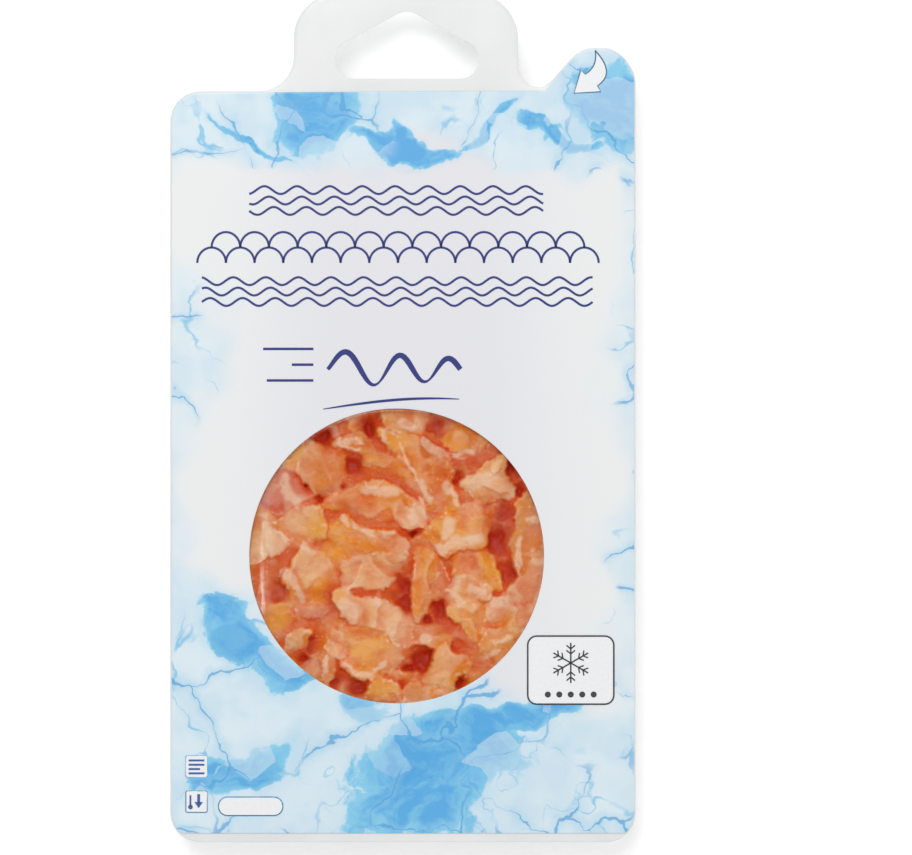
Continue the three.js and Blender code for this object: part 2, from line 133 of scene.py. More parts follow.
class Shader:
    """Builds one material's nodes. A method's inputs may be sockets or plain values."""

    def __init__(self, name):
        self.material = bpy.data.materials.new(name)
        self.material.use_nodes = True
        self.tree = self.material.node_tree
        self.tree.nodes.clear()
        self.output = self.tree.nodes.new("ShaderNodeOutputMaterial")

    def put(self, kind, outlet=0, settings=None, **inputs):
        node = self.tree.nodes.new("ShaderNode" + kind)
        for key, value in (settings or {}).items():
            setattr(node, key, value)
        for key, value in inputs.items():
            socket = node.inputs[int(key[1:]) if key[1:].isdigit() else key.replace("_", " ")]
            if isinstance(value, bpy.types.NodeSocket):
                self.tree.links.new(value, socket)
            elif isinstance(value, tuple) and len(value) == 3 and socket.type == "RGBA":
                socket.default_value = (*value, 1)
            else:
                socket.default_value = value
        return node.outputs[outlet]

    def place(self):
        """The point on the object, in millimetres."""
        at = self.put("TexCoord", 3)
        return self.put("VectorMath", settings={"operation": "SCALE"}, i0=at, Scale=1 / MM)

    def attribute(self, name, outlet=0):
        return self.put("Attribute", outlet, {"attribute_name": name})

    def noise(self, at, size, detail=3.0, rough=0.5, colour=False):
        return self.put("TexNoise", 1 if colour else 0, Vector=at, Scale=1 / size,
                        Detail=detail, Roughness=rough)

    def maths(self, operation, a, b=0.0):
        return self.put("Math", settings={"operation": operation}, i0=a, i1=b)

    def times(self, *factors):
        product = factors[0]
        for factor in factors[1:]:
            product = self.maths("MULTIPLY", product, factor)
        return product

    def vector(self, operation, a, b):
        return self.put("VectorMath", settings={"operation": operation}, i0=a, i1=b)

    def scaled(self, a, by):
        return self.put("VectorMath", settings={"operation": "SCALE"}, i0=a, Scale=by)

    def ramp(self, value, low, high, to_low=0.0, to_high=1.0):
        """value from low to high becomes to_low to to_high, smoothly."""
        return self.put("MapRange", settings={"interpolation_type": "SMOOTHSTEP"}, Value=value,
                        From_Min=low, From_Max=high, To_Min=to_low, To_Max=to_high)

    def mix(self, share, a, b):
        return self.put("Mix", 2, {"data_type": "RGBA"}, i0=share, i6=a, i7=b)

    def toned(self, colour, share, other):
        """A colour moved by a share towards another one, given as it looks."""
        return self.mix(share, colour, linear(*other))

    def split(self, vector):
        node = self.tree.nodes.new("ShaderNodeSeparateXYZ")
        self.tree.links.new(vector, node.inputs[0])
        return node.outputs

    def bump(self, height, distance, strength):
        return self.put("Bump", Height=height, Distance=distance * MM, Strength=strength)

    def surface(self, settings=None, **inputs):
        shader = self.put("BsdfPrincipled", settings=settings, **inputs)
        self.tree.links.new(shader, self.output.inputs["Surface"])
        return self.material


# ---------------------------------------------------------------- salmon material

FLESH_LIGHT, FLESH_DARK, SEAM, GLINT_SPECK = (238, 182, 120), (222, 106, 26), (240, 192, 150), (250, 228, 205)


def salmon_material():
    """Moist flesh: each point's tint with mottling, seams, specks of painted glint and fine fibres."""
    s = Shader("salmon_flesh")
    tint = s.attribute("tint")
    grain = s.attribute("grain", 1)
    raised = s.maths("SUBTRACT", 1.0, s.attribute("low", 2))
    bend = s.scaled(s.noise(grain, 7.0, 2, colour=True), 5.0)
    flow = s.vector("ADD", grain, bend)

    # Flakes: the flesh parts along pale membranes, with smooth hollows between them.
    flake = s.noise(s.vector("MULTIPLY", flow, (0.55, 1.0, 1.0)), 5.5, 2)
    apart = s.maths("ABSOLUTE", s.maths("SUBTRACT", flake, 0.5))
    patchy = s.ramp(s.noise(grain, 6.0, 1), 0.45, 0.62)
    near_seam = s.times(s.ramp(apart, 0.13, 0.0), patchy)

    mottle = s.noise(s.vector("MULTIPLY", flow, (0.6, 1.0, 1.0)), 3.2, 3, 0.55)
    specks = s.noise(grain, 0.7, 2)
    colour = s.toned(tint, s.times(s.ramp(mottle, 0.5, 0.75, 0.0, 0.3), raised), FLESH_LIGHT)
    colour = s.toned(colour, s.times(s.ramp(mottle, 0.5, 0.25, 0.0, 0.4), raised), FLESH_DARK)
    colour = s.toned(colour, s.times(near_seam, raised, 0.25), SEAM)
    # Pale specks: painted glints.
    colour = s.toned(colour, s.times(s.ramp(specks, 0.67, 0.75, 0.0, 0.35), raised), GLINT_SPECK)

    fibre = s.noise(s.vector("MULTIPLY", flow, (0.3, 1.5, 1.5)), 0.8, 3, 0.6)
    height = s.maths("ADD", s.times(near_seam, 0.4), s.times(fibre, 0.4))
    height = s.maths("ADD", height, s.times(mottle, 0.7))
    return s.surface(Base_Color=colour, Roughness=s.ramp(mottle, 0.3, 0.7, 0.36, 0.5),
                     Normal=s.bump(height, 0.6, 0.7), Specular_IOR_Level=0.35,
                     Subsurface_Weight=0.8, Subsurface_Radius=(1.0, 0.4, 0.2),
                     Subsurface_Scale=1.8 * MM, settings={"subsurface_method": "BURLEY"})


# ---------------------------------------------------------------- salmon trimmings

TONES = {
    "orange": (224, 124, 32),
    "bright": (232, 144, 32),
    "golden": (234, 168, 48),
    "tan": (220, 154, 88),
    "cream": (238, 212, 186),
    "pale": (235, 196, 168),
    "peach": (226, 164, 118),
    "rose": (208, 130, 90),
    "pink": (218, 142, 116),
    "mauve": (216, 152, 160),
    "flame": (214, 96, 30),
    "deep": (200, 72, 34),
    # Brick and red are painted shade, for the trimmings that lie low in the gaps.
    "brick": (170, 30, 8),
    "red": (160, 24, 6),
}

# The trimmings from the lowest to the uppermost: tone at the start and at the end along the
# grain, heading of the grain, depth of the top below the tray's rim, which way the piece
# rises and by how many degrees, and the outline, in millimetres from the window's middle.
TRIMMINGS = [
    ("brick", "brick", -80, 4.2, 90, 3, [(27, 14), (30, 16), (33.6, 14), (33.4, 9), (31.5, 3), (31, -2),
     (28, -1), (25, 2), (24.5, 7), (26, 11)]),
    ("brick", "brick", -20, 3.6, 200, 4, [(6, 41), (6.5, 37), (10, 34), (13, 34), (17, 36), (15, 39)]),
    ("red", "brick", -60, 4.0, 200, 3, [(29, 28), (30, 24), (32.5, 19), (33, 15), (36, 15), (38, 18),
     (34, 25), (31, 29)]),
    ("brick", "deep", -60, 3.4, 0, 3, [(26, -1), (31, -1), (33.5, -3), (31, -7), (28.5, -8)]),
    ("deep", "flame", 85, 2.8, 180, 4, [(-37, -2), (-33, 0.5), (-28, 3), (-27.5, -1), (-30, -4),
     (-31, -8), (-29, -13), (-31, -15), (-37, -14), (-38, -8)]),
    ("flame", "flame", 20, 2.6, 60, 4, [(-28, -15), (-20, -14), (-15, -17), (-14.5, -21), (-18, -24),
     (-22, -23), (-25, -20)]),
    ("brick", "deep", 10, 3.8, 90, 4, [(-15.5, -33.5), (-9, -34), (-8, -38), (-10, -42), (-15, -40)]),
    ("deep", "rose", -35, 2.8, 300, 5, [(8, -18), (10, -16), (14, -16.5), (18, -19), (22, -23),
     (21, -27), (17, -26), (14, -22), (9, -20)]),
    ("deep", "orange", 20, 2.3, 40, 5, [(15, 27.8), (19, 27), (23, 29.5), (28, 31), (30, 28),
     (25, 26.5), (22, 23.5), (19, 20), (15.5, 21)]),
    ("orange", "flame", -35, 2.0, 30, 5, [(21, 33.5), (23, 30), (28, 30), (29, 32), (25, 37), (21, 37)]),
    ("deep", "deep", 10, 2.0, 270, 3, [(9, -36), (13, -37), (17, -36), (20, -37), (16, -42),
     (8, -42)]),
    ("tan", "flame", -45, 1.7, 60, 5, [(3, 36), (6, 34.5), (9.5, 34), (11, 31.5), (9, 29), (5, 31),
     (1, 34)]),
    ("tan", "pale", -12, 2.0, 100, 5, [(-19, 38), (-14, 37), (-12, 34.5), (-8.5, 34), (-9.5, 36),
     (-8, 39), (-10, 43), (-17, 41)]),
    ("tan", "rose", -15, 1.6, 250, 5, [(-4, 39), (-3, 36.5), (1, 35), (4.5, 34.8), (8, 36), (8, 42),
     (0, 43), (-5, 42)]),
    ("mauve", "mauve", -70, 1.1, 120, 3, [(-34, 24), (-29.5, 26), (-28.5, 22), (-25.5, 18.5),
     (-22.5, 16.5), (-22.5, 13.5), (-28, 13), (-36, 12), (-38, 15), (-36, 20)]),
    ("pale", "tan", 30, 1.5, 90, 6, [(-33, 27), (-28, 29.5), (-24.5, 30.5), (-26, 27), (-27, 24.8),
     (-30, 24.5)]),
    ("cream", "cream", -80, 1.1, 0, 3, [(-41, 13), (-37.5, 14), (-35, 11), (-33.5, 7.5), (-30, 5),
     (-30.5, 2.6), (-35.5, 0), (-41, -1)]),
    ("rose", "flame", 20, 1.7, 100, 4, [(-37.5, -13.5), (-33, -13.8), (-29, -14.2), (-27.5, -18),
     (-28.5, -21.5), (-32, -24), (-36, -23), (-38, -19)]),
    ("peach", "rose", -65, 1.9, 200, 5, [(-26, -30), (-22.5, -27.5), (-20, -29), (-20, -34),
     (-21, -38), (-28, -35)]),
    ("deep", "flame", 15, 1.8, 100, 6, [(-21.5, 14), (-20.3, 12.2), (-20, 9.3), (-17, 9.6),
     (-13, 11), (-9, 9), (-8, 13), (-14, 16.5), (-19, 16)]),
    ("orange", "flame", -10, 1.8, 200, 6, [(-22, 3.5), (-20, 9), (-15, 9), (-14, 2), (-18, -3),
     (-21, -1)]),
    ("orange", "bright", 5, 1.9, 90, 5, [(1, 5), (4, 4.6), (7, 5.6), (10.5, 3.5), (12, 1), (9, 0),
     (4, -1), (0.5, 0)]),
    ("peach", "orange", 15, 1.9, 200, 5, [(-3.5, -19), (4, -18), (5, -23), (4, -28), (0.5, -31),
     (-3, -30), (-4, -24)]),
    ("orange", "peach", 30, 2.0, 120, 5, [(20, -29), (23, -27.6), (27, -29), (30, -29), (27, -34),
     (20, -38), (17.5, -35.5), (19.5, -32)]),
    ("peach", "pale", -10, 1.2, 100, 6, [(-2.3, -32), (3, -32.6), (8, -33.6), (10, -36.5),
     (6, -36.5), (2.5, -35.8), (0, -34.5)]),
    ("rose", "pink", -70, 1.8, 60, 6, [(17.2, 19.4), (19.5, 18.5), (22, 16.5), (22.5, 14.5),
     (19, 13.6), (17, 13.6)]),
    ("orange", "rose", -30, 1.8, 60, 5, [(14.5, -22.5), (18, -20), (24, -20), (27, -21.5), (26, -25),
     (23, -28), (17, -27)]),
    ("pale", "peach", 15, 1.7, 300, 6, [(15, 28.4), (18, 27.4), (21, 28.4), (24.5, 31), (23, 33.5),
     (20, 30), (16, 29.8)]),
    ("pink", "pink", -2, 1.5, 270, 6, [(-28.5, -13), (-24, -12.5), (-18.5, -13.5), (-18.8, -15.2),
     (-21, -16.6), (-26, -17), (-28, -15.3)]),
    ("cream", "cream", -80, 0.9, 180, 5, [(34.8, -5), (36, -1), (36.5, 2), (44, 2), (44, -8),
     (40, -15), (36.5, -15), (32.5, -12.8), (31, -10.5), (33, -7.5)]),
    ("brick", "flame", -20, 1.7, 180, 4, [(33.8, 15.5), (35, 12), (39, 12), (43, 14), (42, 20),
     (38, 19)]),
    ("tan", "tan", 85, 1.0, 180, 6, [(33.8, 12.2), (36.5, 13.4), (44, 12.5), (44, 1), (38, 1.2),
     (36.5, -1.5), (34.8, -5.4), (33, -3.6), (32.6, 0), (31.6, 3.6), (33.2, 7)]),
    ("pale", "tan", -60, 1.0, 180, 4, [(32, -12.6), (35, -13.8), (38.5, -14), (39, -19), (35, -23),
     (30.5, -20.5), (32.3, -16.5)]),
    ("peach", "tan", 25, 1.2, 120, 5, [(25.5, -20.5), (30.5, -20.2), (37, -21.5), (34, -28),
     (29, -32), (24.5, -28.2), (23.2, -25)]),
    ("golden", "flame", 15, 1.1, 250, 5, [(15, 34.8), (16.5, 36.8), (19, 38.5), (22, 36.5), (21.8, 33),
     (20.8, 30.6), (18.5, 29.5), (15.5, 29.7), (13.2, 31), (13, 33)]),
    ("rose", "rose", -70, 0.9, 200, 3, [(-24, 31), (-21, 30.2), (-17, 30.4), (-15.2, 28.6),
     (-14.6, 25.5), (-15.2, 21.5), (-16.2, 19), (-18, 17.4), (-22.5, 17.4), (-24.5, 19.5),
     (-26.4, 22), (-27.3, 25), (-25.6, 28.4)]),
    ("tan", "golden", -5, 0.8, 20, 5, [(-34.8, 8.8), (-31.5, 11), (-28, 13.2), (-24.5, 13.5),
     (-21.8, 13.9), (-20.3, 10.5), (-19.8, 7), (-20.5, 4.6), (-24, 4), (-28, 3.4),
     (-31.5, 5), (-33.6, 7)]),
    ("tan", "golden", -32, 0.9, 120, 5, [(-18.2, 30.8), (-15.5, 33), (-10.5, 34), (-8, 32.4),
     (-5.5, 29.2), (-1, 27), (3.5, 26), (7, 24), (9, 20), (10.5, 15), (8.8, 9.8),
     (7.2, 14.6), (4.5, 17.8), (0, 20.6), (-4, 22.6), (-8.5, 25), (-10.5, 28.6),
     (-14.5, 30)]),
    ("rose", "peach", -80, 1.0, 0, 7, [(12.6, 22.6), (14.8, 21.4), (15.8, 18), (17.1, 13.8),
     (14.5, 12.4), (9.5, 12.6), (9.6, 16), (9, 18.2), (9.6, 21)]),
    ("pink", "orange", -60, 0.8, 60, 5, [(6.8, 31.8), (8.6, 32.4), (10, 30.8), (13, 29.8), (14.6, 28),
     (15, 25), (15.9, 22.6), (14.6, 20.8), (11.5, 21), (9, 23), (8, 27)]),
    ("bright", "tan", -58, 0.6, 205, 8, [(-5.2, 35.8), (-3.4, 34.8), (0.5, 33.6), (4.5, 33.4), (7, 31),
     (9.5, 27), (10.8, 24), (9.6, 20.6), (9.6, 17.5), (10.8, 13.6), (9, 13.5), (6.2, 18.6),
     (3.8, 23.4), (1, 27), (-2, 30), (-3.8, 32.6)]),
    ("orange", "bright", -6, 0.6, 60, 6, [(-20.6, 14.4), (-17.5, 17.2), (-13, 18.4), (-8, 20.6),
     (-4, 20.9), (0, 19.6), (3.2, 16.8), (5.6, 14.8), (8, 11), (4, 9), (-1, 8),
     (-6, 7.4), (-10, 9.4), (-13, 12.4), (-17, 13.4)]),
    ("pale", "pale", -65, 0.4, 250, 13, [(0.8, 15.2), (3, 13.8), (5.8, 15), (7.4, 12), (7.8, 8.6),
     (5, 7.6), (3, 7.3), (1.2, 9), (-0.4, 11.8)]),
    ("cream", "cream", 18, 0.4, 100, 4, [(17.8, 19.8), (21, 22.4), (24.5, 25.4), (26.8, 27.4),
     (28.8, 26.8), (30.2, 24), (31.8, 20.8), (33.1, 18.2), (31.6, 16), (28.6, 16.4),
     (26.8, 15.2), (22.4, 14.8), (20.8, 17.4)]),
    ("golden", "bright", 14, 0.4, 250, 5, [(7.3, 6.6), (10, 9.6), (13, 12), (18, 13.6), (22, 14.6),
     (25.4, 14), (27.2, 11.8), (26.2, 8.4), (25.2, 5), (24.6, 2.2), (20, 2.2), (16.5, 1),
     (13.6, -0.4), (12, 0.6), (10.6, 3), (8.4, 5)]),
    ("golden", "orange", -10, 0.4, 60, 5, [(-20, 3), (-18.8, 9), (-16, 10.2), (-14.3, 11.6),
     (-12.6, 9.4), (-9.5, 7.6), (-6, 7), (-2, 7), (0.4, 6), (2.8, 3.6), (2.4, -0.6), (-1, -2.4),
     (-7, -3), (-13, -5), (-16.4, -8.8), (-18, -3.6), (-20.6, -0.4)]),
    ("cream", "cream", -8, 0.5, 250, 5, [(-14.6, -2.4), (-10.4, -0.4), (-5, 0.4), (-1, 0.6),
     (2, -1), (0, -5), (-2.2, -8.6), (-6, -9.2), (-11, -8.8), (-15, -9), (-15.2, -5.4)]),
    ("pale", "golden", -60, 0.5, 170, 6, [(-26.8, 3), (-24, 2.8), (-21, 0.4), (-18.5, -3),
     (-16.5, -6.6), (-15.6, -9.2), (-17.6, -11.6), (-20.5, -13.2), (-25, -13), (-29, -12.2),
     (-29.8, -9.8), (-32, -6.6), (-31.4, -4.6), (-29.2, -2)]),
    ("bright", "orange", 85, 0.5, 180, 3, [(5.4, 1), (8.5, 1.4), (11, -0.4), (12.4, -3.4), (11.4, -6.4),
     (10, -11), (8.4, -15), (6.2, -18.4), (4.8, -16.6), (4, -11), (4.4, -6.6), (5.2, -3)]),
    ("deep", "deep", 85, 1.1, 0, 8, [(12.2, -2.2), (13.6, -4.2), (14.3, -7.4), (13.4, -10.6),
     (11.6, -12.6), (10.2, -11), (10.8, -7.6), (11.8, -4.6)]),
    ("bright", "golden", -65, 0.6, 300, 4, [(16, 1), (19, 2.6), (23, 2.6), (25.6, 1), (27.8, -3),
     (29.3, -6.6), (28.8, -9.6), (26.4, -9.6), (24, -7.4), (20, -6.4), (15.6, -6),
     (16.4, -2.6)]),
    ("cream", "cream", -25, 0.5, 330, 5, [(14, -10.6), (15.6, -7.2), (18.5, -6), (22.5, -7.2),
     (25.4, -8.2), (26.6, -10.6), (25, -12.6), (21.4, -12), (18.6, -13.8), (14, -14.4)]),
    ("pale", "tan", -50, 0.7, 60, 5, [(24.4, -13), (27.5, -12), (30.2, -11.2), (32.4, -12.8),
     (33.2, -15.6), (32, -19), (29, -20.4), (25, -19.2), (23, -16)]),
    ("golden", "golden", -60, 0.4, 200, 6, [(13.6, -14.2), (17, -14.4), (19.6, -13), (20.8, -11.4),
     (22.8, -11.8), (24.6, -14.6), (24.4, -18.4), (23, -23.4), (21, -22.4), (18, -19),
     (14.4, -16.6)]),
    ("bright", "peach", 12, 0.7, 250, 5, [(-15.6, -19.4), (-10, -18.6), (-4, -19.6), (-2.6, -23),
     (0.8, -26), (1, -29.4), (-2, -32), (-7, -34.4), (-11.4, -34), (-15.4, -30.4),
     (-13.8, -28), (-15.4, -24.6)]),
    ("cream", "cream", -32, 0.4, 160, 5, [(-17.2, -9.4), (-14.6, -9), (-12.4, -11), (-8, -12.2),
     (-3.4, -12.8), (1, -15.2), (5, -17.6), (6.8, -19.6), (4.8, -22), (3.4, -25.4),
     (-0.6, -24), (-3, -20.6), (-8, -19.4), (-12.6, -18.8), (-16, -15.4), (-17.9, -12)]),
    ("rose", "tan", -70, 1.1, 0, 6, [(-22.4, -27), (-20.4, -27.2), (-18.4, -28), (-17.7, -31.4),
     (-18, -34.2), (-19.8, -35.2), (-21, -31)]),
    ("peach", "orange", 78, 0.8, 270, 7, [(-19, -21.4), (-16, -21.8), (-15.4, -24.4), (-14.3, -27.6),
     (-16, -28.8), (-18.6, -27), (-19.6, -24.8)]),
    ("cream", "golden", 35, 0.8, 90, 6, [(-30.2, -25.8), (-29.8, -22.6), (-27.6, -20.6),
     (-24, -21.2), (-25.2, -23.6), (-25.6, -25.8), (-28, -26)]),
    ("peach", "tan", -22, 0.6, 270, 5, [(5, -20.8), (8, -19.6), (11.5, -20.2), (14, -21.6),
     (15.4, -23.6), (14, -25.8), (11, -25.8), (8, -24.8), (5, -24)]),
    ("tan", "peach", -6, 0.7, 90, 6, [(-6.6, -35), (-3, -34.6), (0, -35.8), (0.8, -38), (0, -43),
     (-9, -43), (-8.4, -38.6)]),
    ("pale", "pale", -20, 0.5, 120, 6, [(2.2, -37), (4.2, -35.6), (7, -36.2), (9, -38), (11, -42),
     (2, -43), (1.6, -39)]),
    ("golden", "bright", 42, 0.4, 60, 3, [(8, -33.6), (9.4, -31), (10.4, -29), (10.4, -27),
     (12.4, -25), (14.4, -25), (16.4, -27.4), (18.6, -27.4), (20.2, -29.8), (19.4, -32.2),
     (16.8, -34), (14.8, -36.4), (12.4, -36.6), (9, -35.8)]),
]

# Places where the filling lies deep, so that hollows with painted red shade show: x, y and radius.
DEEP_PLACES = [
    (-20.5, 33, 3.2), (-13, 25.5, 3), (-16, 19.5, 1.6), (-25.8, 20, 1.8), (-21.8, 15, 1.6),
    (-7.5, 36.5, 2.6), (11.5, 36.5, 3), (31.5, 25, 2.6), (34.5, 18, 2.8), (28.5, 4, 4.5),
    (29.5, 12, 3.6), (30.5, -4, 3), (4.8, 6.4, 1.8), (1.6, -9, 3.2), (2.6, -13, 2.2),
    (12, -14.2, 2.6), (8.6, -18, 1.8), (-33.5, -10, 3), (-24, -24.5, 2.2), (-17, -35.8, 2.6),
    (-11, -37, 2.8), (1.2, -36.6, 1.6), (0.8, -39, 1.6), (7, -29, 3.4), (3, -31.6, 2),
    (17, -35.8, 1.8), (25, -30.4, 1.6), (-26, -29, 2), (16.6, 21, 1.8), (17, -25, 1.6),
]

# Pale ragged membranes and fat along the uppermost pieces: x, y, length, width, heading.
MEMBRANES = [
    (-13.2, 32, 9, 2.4, 10), (-12.6, 29.9, 6, 1.4, -18), (-17.4, 34.6, 5, 2, -50),
    (-3.9, 33.6, 6, 1.4, -62), (2, 28.4, 9, 1.2, -68), (4.9, 22.8, 8, 1.2, -58),
    (8, 17.8, 9, 2.2, -64), (-4.5, 18.2, 13, 3.4, -8), (7.4, 13.6, 8, 1.2, -66),
    (-14.2, 10, 5, 2.2, -45), (-9.2, 7.2, 9, 2, -22), (-2.4, 6, 5, 1.8, -10),
    (-30.2, -5.8, 7, 3.2, -52), (-24.8, 1.6, 6, 2, -32), (-27, -10.4, 7, 2.4, -58),
    (-13.4, -31.2, 6, 1.6, -38), (-9.2, -33.2, 7, 1.8, -8), (-4.6, -31.2, 6, 1.6, 28),
    (12.4, 1.8, 5, 3, -55), (18.2, 4, 15, 3, 12), (14.4, 7.6, 8, 3, 80),
    (-36.2, 7, 13, 3.2, -75), (-32.2, 5.8, 7, 1.4, -34), (-31, 19, 10, 3.4, -75),
    (-28.4, 15.4, 5, 3, -45), (15.9, 16.4, 7, 1.6, -75), (14.1, 19, 5, 1.4, -80),
    (18.6, 28.5, 8, 1.6, 12), (3, 36.6, 7, 2.4, -30), (22.6, -9.6, 7, 3.2, -20),
    (17, -12.2, 7, 2.8, -52), (8, -23.3, 4, 2.4, -30), (28.4, -13.4, 7, 2.8, -10),
    (34, 1, 11, 1.6, 85), (38, 10.4, 5, 2, 10), (-24.8, -21.6, 3, 1.6, 10),
    (-19.9, -31, 8, 1.4, 85), (24, 21, 12, 4, 30), (-13, -14.6, 9, 4.4, -32),
    (29.5, -23.4, 7, 2, 15), (27, -27.4, 6, 1.4, 25), (4.4, 11, 6, 3.6, -65),
]

# Folds between and along the pieces, dipped and tinted with painted warm shade, in the same form.
FOLDS = [
    (-2.5, 21.8, 10, 1.6, -20), (3.6, 17.4, 7, 1.8, -42), (-17, 11.4, 9, 2.6, 8),
    (-9.6, 9.8, 8, 2, -32), (-21, 3.6, 8, 2.8, 10), (-15.6, -6.2, 7, 1.8, -60),
    (-9, -10.4, 9, 1.8, -2), (21, 25.4, 9, 3.4, -60), (-14.6, -26, 6, 2.6, -75),
    (-9, -21.8, 10, 2.4, -3), (25, 12, 8, 3, -80), (10.6, 5.6, 5, 2.6, -35),
    (25, -19.6, 8, 1.8, -12), (30, -10.2, 8, 2.2, -15), (34.6, -13.4, 6, 2, -25),
    (-22.6, -10.2, 8, 2.8, -12), (22.4, -4.6, 7, 2, -55), (18.4, 9.4, 5, 2.6, 75),
    (13, 23.6, 5, 3, -50), (-34, 13.4, 6, 2.4, 5), (24.4, 16, 6, 1.8, 10),
]

# The grid that the trimmings are laid on, in millimetres from the window's middle.
CELL, GRID_REACH = 0.27, 48.6
STEPS = np.arange(-GRID_REACH, GRID_REACH + CELL, CELL)
GRID = np.stack(np.meshgrid(STEPS, STEPS, indexing="ij"), -1)
FLAT_GRID = np.concatenate([GRID, np.zeros((*GRID.shape[:2], 1))], -1)

# The bed of trimmings that lie too deep to tell apart.
BED_REACH, BED_SINK, BED_DIP, BED_RIM_SINK = 45.5, 2.4, 2.2, 1.3
BED_BASE = DEPTH - WELL_DEPTH - 0.2  # a little into the core
BED_EDGE = 39.5, 42.5
DEEP_EDGE = 40.5, 42.5
BED_TONES = "flame", "orange"

# A trimming's form.
FINENESS, RAGGED, GROWTH = 0.3, 0.42, 0.45  # of its outline
PATCH_MARGIN = 4.0  # how far round it the grid is worked on
SLUMP, SLUMP_WIDTH = 1.0, 3.5  # at its low side
BEVEL, BEVEL_WIDTH = 0.3, 1.0
FLAKE_STEP, FLAKE_PITCH = 0.6, (7.0, 12.0)
SEAT = 0.12  # least height over what it lies on
EDGE_BLEND = 0.16
CONTACT_REACH, CONTACT_SHADE = 2.4, 0.9  # painted warm shade on its neighbours, round where it lies on them

# Sums of noise: strength, size and seed of each layer.
BED_NOISE = [(0.4, 6.5, 41), (0.35, 2.8, 42), (0.15, 1.3, 43)]
STROKE_NOISE = [(0.8, 3.2, 70), (0.5, 1.2, 71), (0.3, 0.7, 72)]
OUTLINE_NOISE = [(0.5, 3.4, 21), (0.8, 1.5, 22), (1.2, 0.75, 23)]

# Soft patches that vary a trimming's tone: colour, and the range of noise where it sets in.
VARIETY = [
    ((232, 148, 26), -0.15, 0.3),
    ((238, 202, 176), 0.15, 0.55),
    ((222, 108, 20), 0.1, 0.5),
    ((238, 178, 66), 0.1, 0.6),
]
VARIETY_SHARE = 0.6
PLAIN_TONES, PLAIN_SHARE = ("mauve", "pink"), 0.2
# Pale edges with painted highlights, painted warm shade, and crystals with painted glints.
PALE_EDGE_AND_HIGHLIGHT, WARM_SHADE, CRYSTAL_GLINT = (241, 218, 202), (212, 84, 16), (252, 232, 208)

# The finished surface.
FIRM_TOP, FIRM_REACH = DEPTH - 0.25, 0.4  # what reaches the film is pressed flat below this
CREVICE = 0.65  # depth of the creases between pieces that lie close together
HOLLOW_SPREAD, GAP_DEPTH = 2.5, 3.5
MEMBRANE_RISE, FOLD_DIP = 0.25, 0.35
# Painted shade of deep places and of hollows, and a painted glow on steep sides.
DEEP_SHADE, RED_HOLLOW_SHADE, STEEP_GLOW = (214, 84, 30), (174, 26, 4), (232, 104, 22)
TRANSLUCENCY = np.array([1.08, 0.97, 0.8])  # light inside the flesh brightens its surface


def uneven(seed, index):
    """Repeatable uneven number from -1 to 1, as in the solids."""
    wave = math.sin(seed * 12.9898 + index * 78.233) * 43758.5453
    return 2 * (wave - math.floor(wave)) - 1


def drawn(seed, index, low, high):
    """Repeatable number between low and high."""
    return low + (high - low) * (uneven(seed, index) + 1) / 2


def layered(points, layers):
    """A sum of noise layers."""
    return sum(strength * noise(points, size, seed) for strength, size, seed in layers)


def toward(colour, other, share):
    """Colours moved to another colour by a share of 0 to 1 at each place."""
    return colour + (np.array(linear(*other)) - colour) * np.asarray(share)[..., None]


def turned(away, heading):
    """How far flat vectors reach along a heading in degrees, and across it."""
    c, s = math.cos(math.radians(heading)), math.sin(math.radians(heading))
    return away @ (c, s), away @ (-s, c)


def blurred(field, spread):
    """A field on the grid, smoothed over spread."""
    reach = int(3 * spread / CELL)
    offsets = np.arange(-reach, reach + 1)
    weights = np.exp(-0.5 * (offsets * CELL / spread) ** 2)
    weights /= weights.sum()
    for axis in (0, 1):
        field = sum(w * np.roll(field, k, axis) for w, k in zip(weights, offsets))
    return field


def strokes(rows, seed):
    """Ragged strokes on the grid, from 0 to 1: x, y, length, width and heading of each."""
    share = np.zeros(GRID.shape[:2])
    for k, (x, y, length, width, heading) in enumerate(rows):
        away = GRID - (x, y)
        near = np.hypot(away[..., 0], away[..., 1]) < length + width
        along, across = turned(away[near], heading)
        at = np.c_[GRID[near], np.full(near.sum(), seed + 7.0 * k)]
        across = across + layered(at, STROKE_NOISE)
        reach = 1 - smooth_step(0.25, 0.55, np.abs(along) / length)
        share[near] = np.maximum(share[near], reach * np.exp(-((across / (width / 2)) ** 2)))
    return share


def closed_curve(corners, step):
    """A smooth closed curve through the corners, in even steps."""
    p = np.array(corners, float)
    before, after, next_after = np.roll(p, 1, 0), np.roll(p, -1, 0), np.roll(p, -2, 0)
    parts = []
    for a, b, c, d in zip(before, p, after, next_after):
        t = np.linspace(0, 1, 12, endpoint=False)[:, None]
        parts.append(0.5 * (2 * b + (c - a) * t + (2 * a - 5 * b + 4 * c - d) * t**2
                            + (3 * b - a - 3 * c + d) * t**3))
    curve = np.concatenate(parts)
    ends = np.roll(curve, -1, 0)
    run = np.concatenate([[0], np.cumsum(np.linalg.norm(ends - curve, axis=1))])
    at = np.linspace(0, run[-1], int(run[-1] / step), endpoint=False)
    ring = np.concatenate([curve, curve[:1]])
    return np.c_[np.interp(at, run, ring[:, 0]), np.interp(at, run, ring[:, 1])]


def ragged_outline(corners, seed):
    """A trimming's torn outline round its corners, a little larger than they are."""
    curve = closed_curve(corners, FINENESS)
    after, before = np.roll(curve, -1, 0), np.roll(curve, 1, 0)
    side = (after - before) @ np.array([[0, -1], [1, 0]])
    side = side / np.linalg.norm(side, axis=1, keepdims=True)
    if (side * (curve - curve.mean(0))).sum() < 0:
        side = -side
    out = layered(np.c_[curve, np.full(len(curve), 9.0 * seed)], OUTLINE_NOISE)
    return curve + side * (GROWTH + RAGGED * out)[:, None]


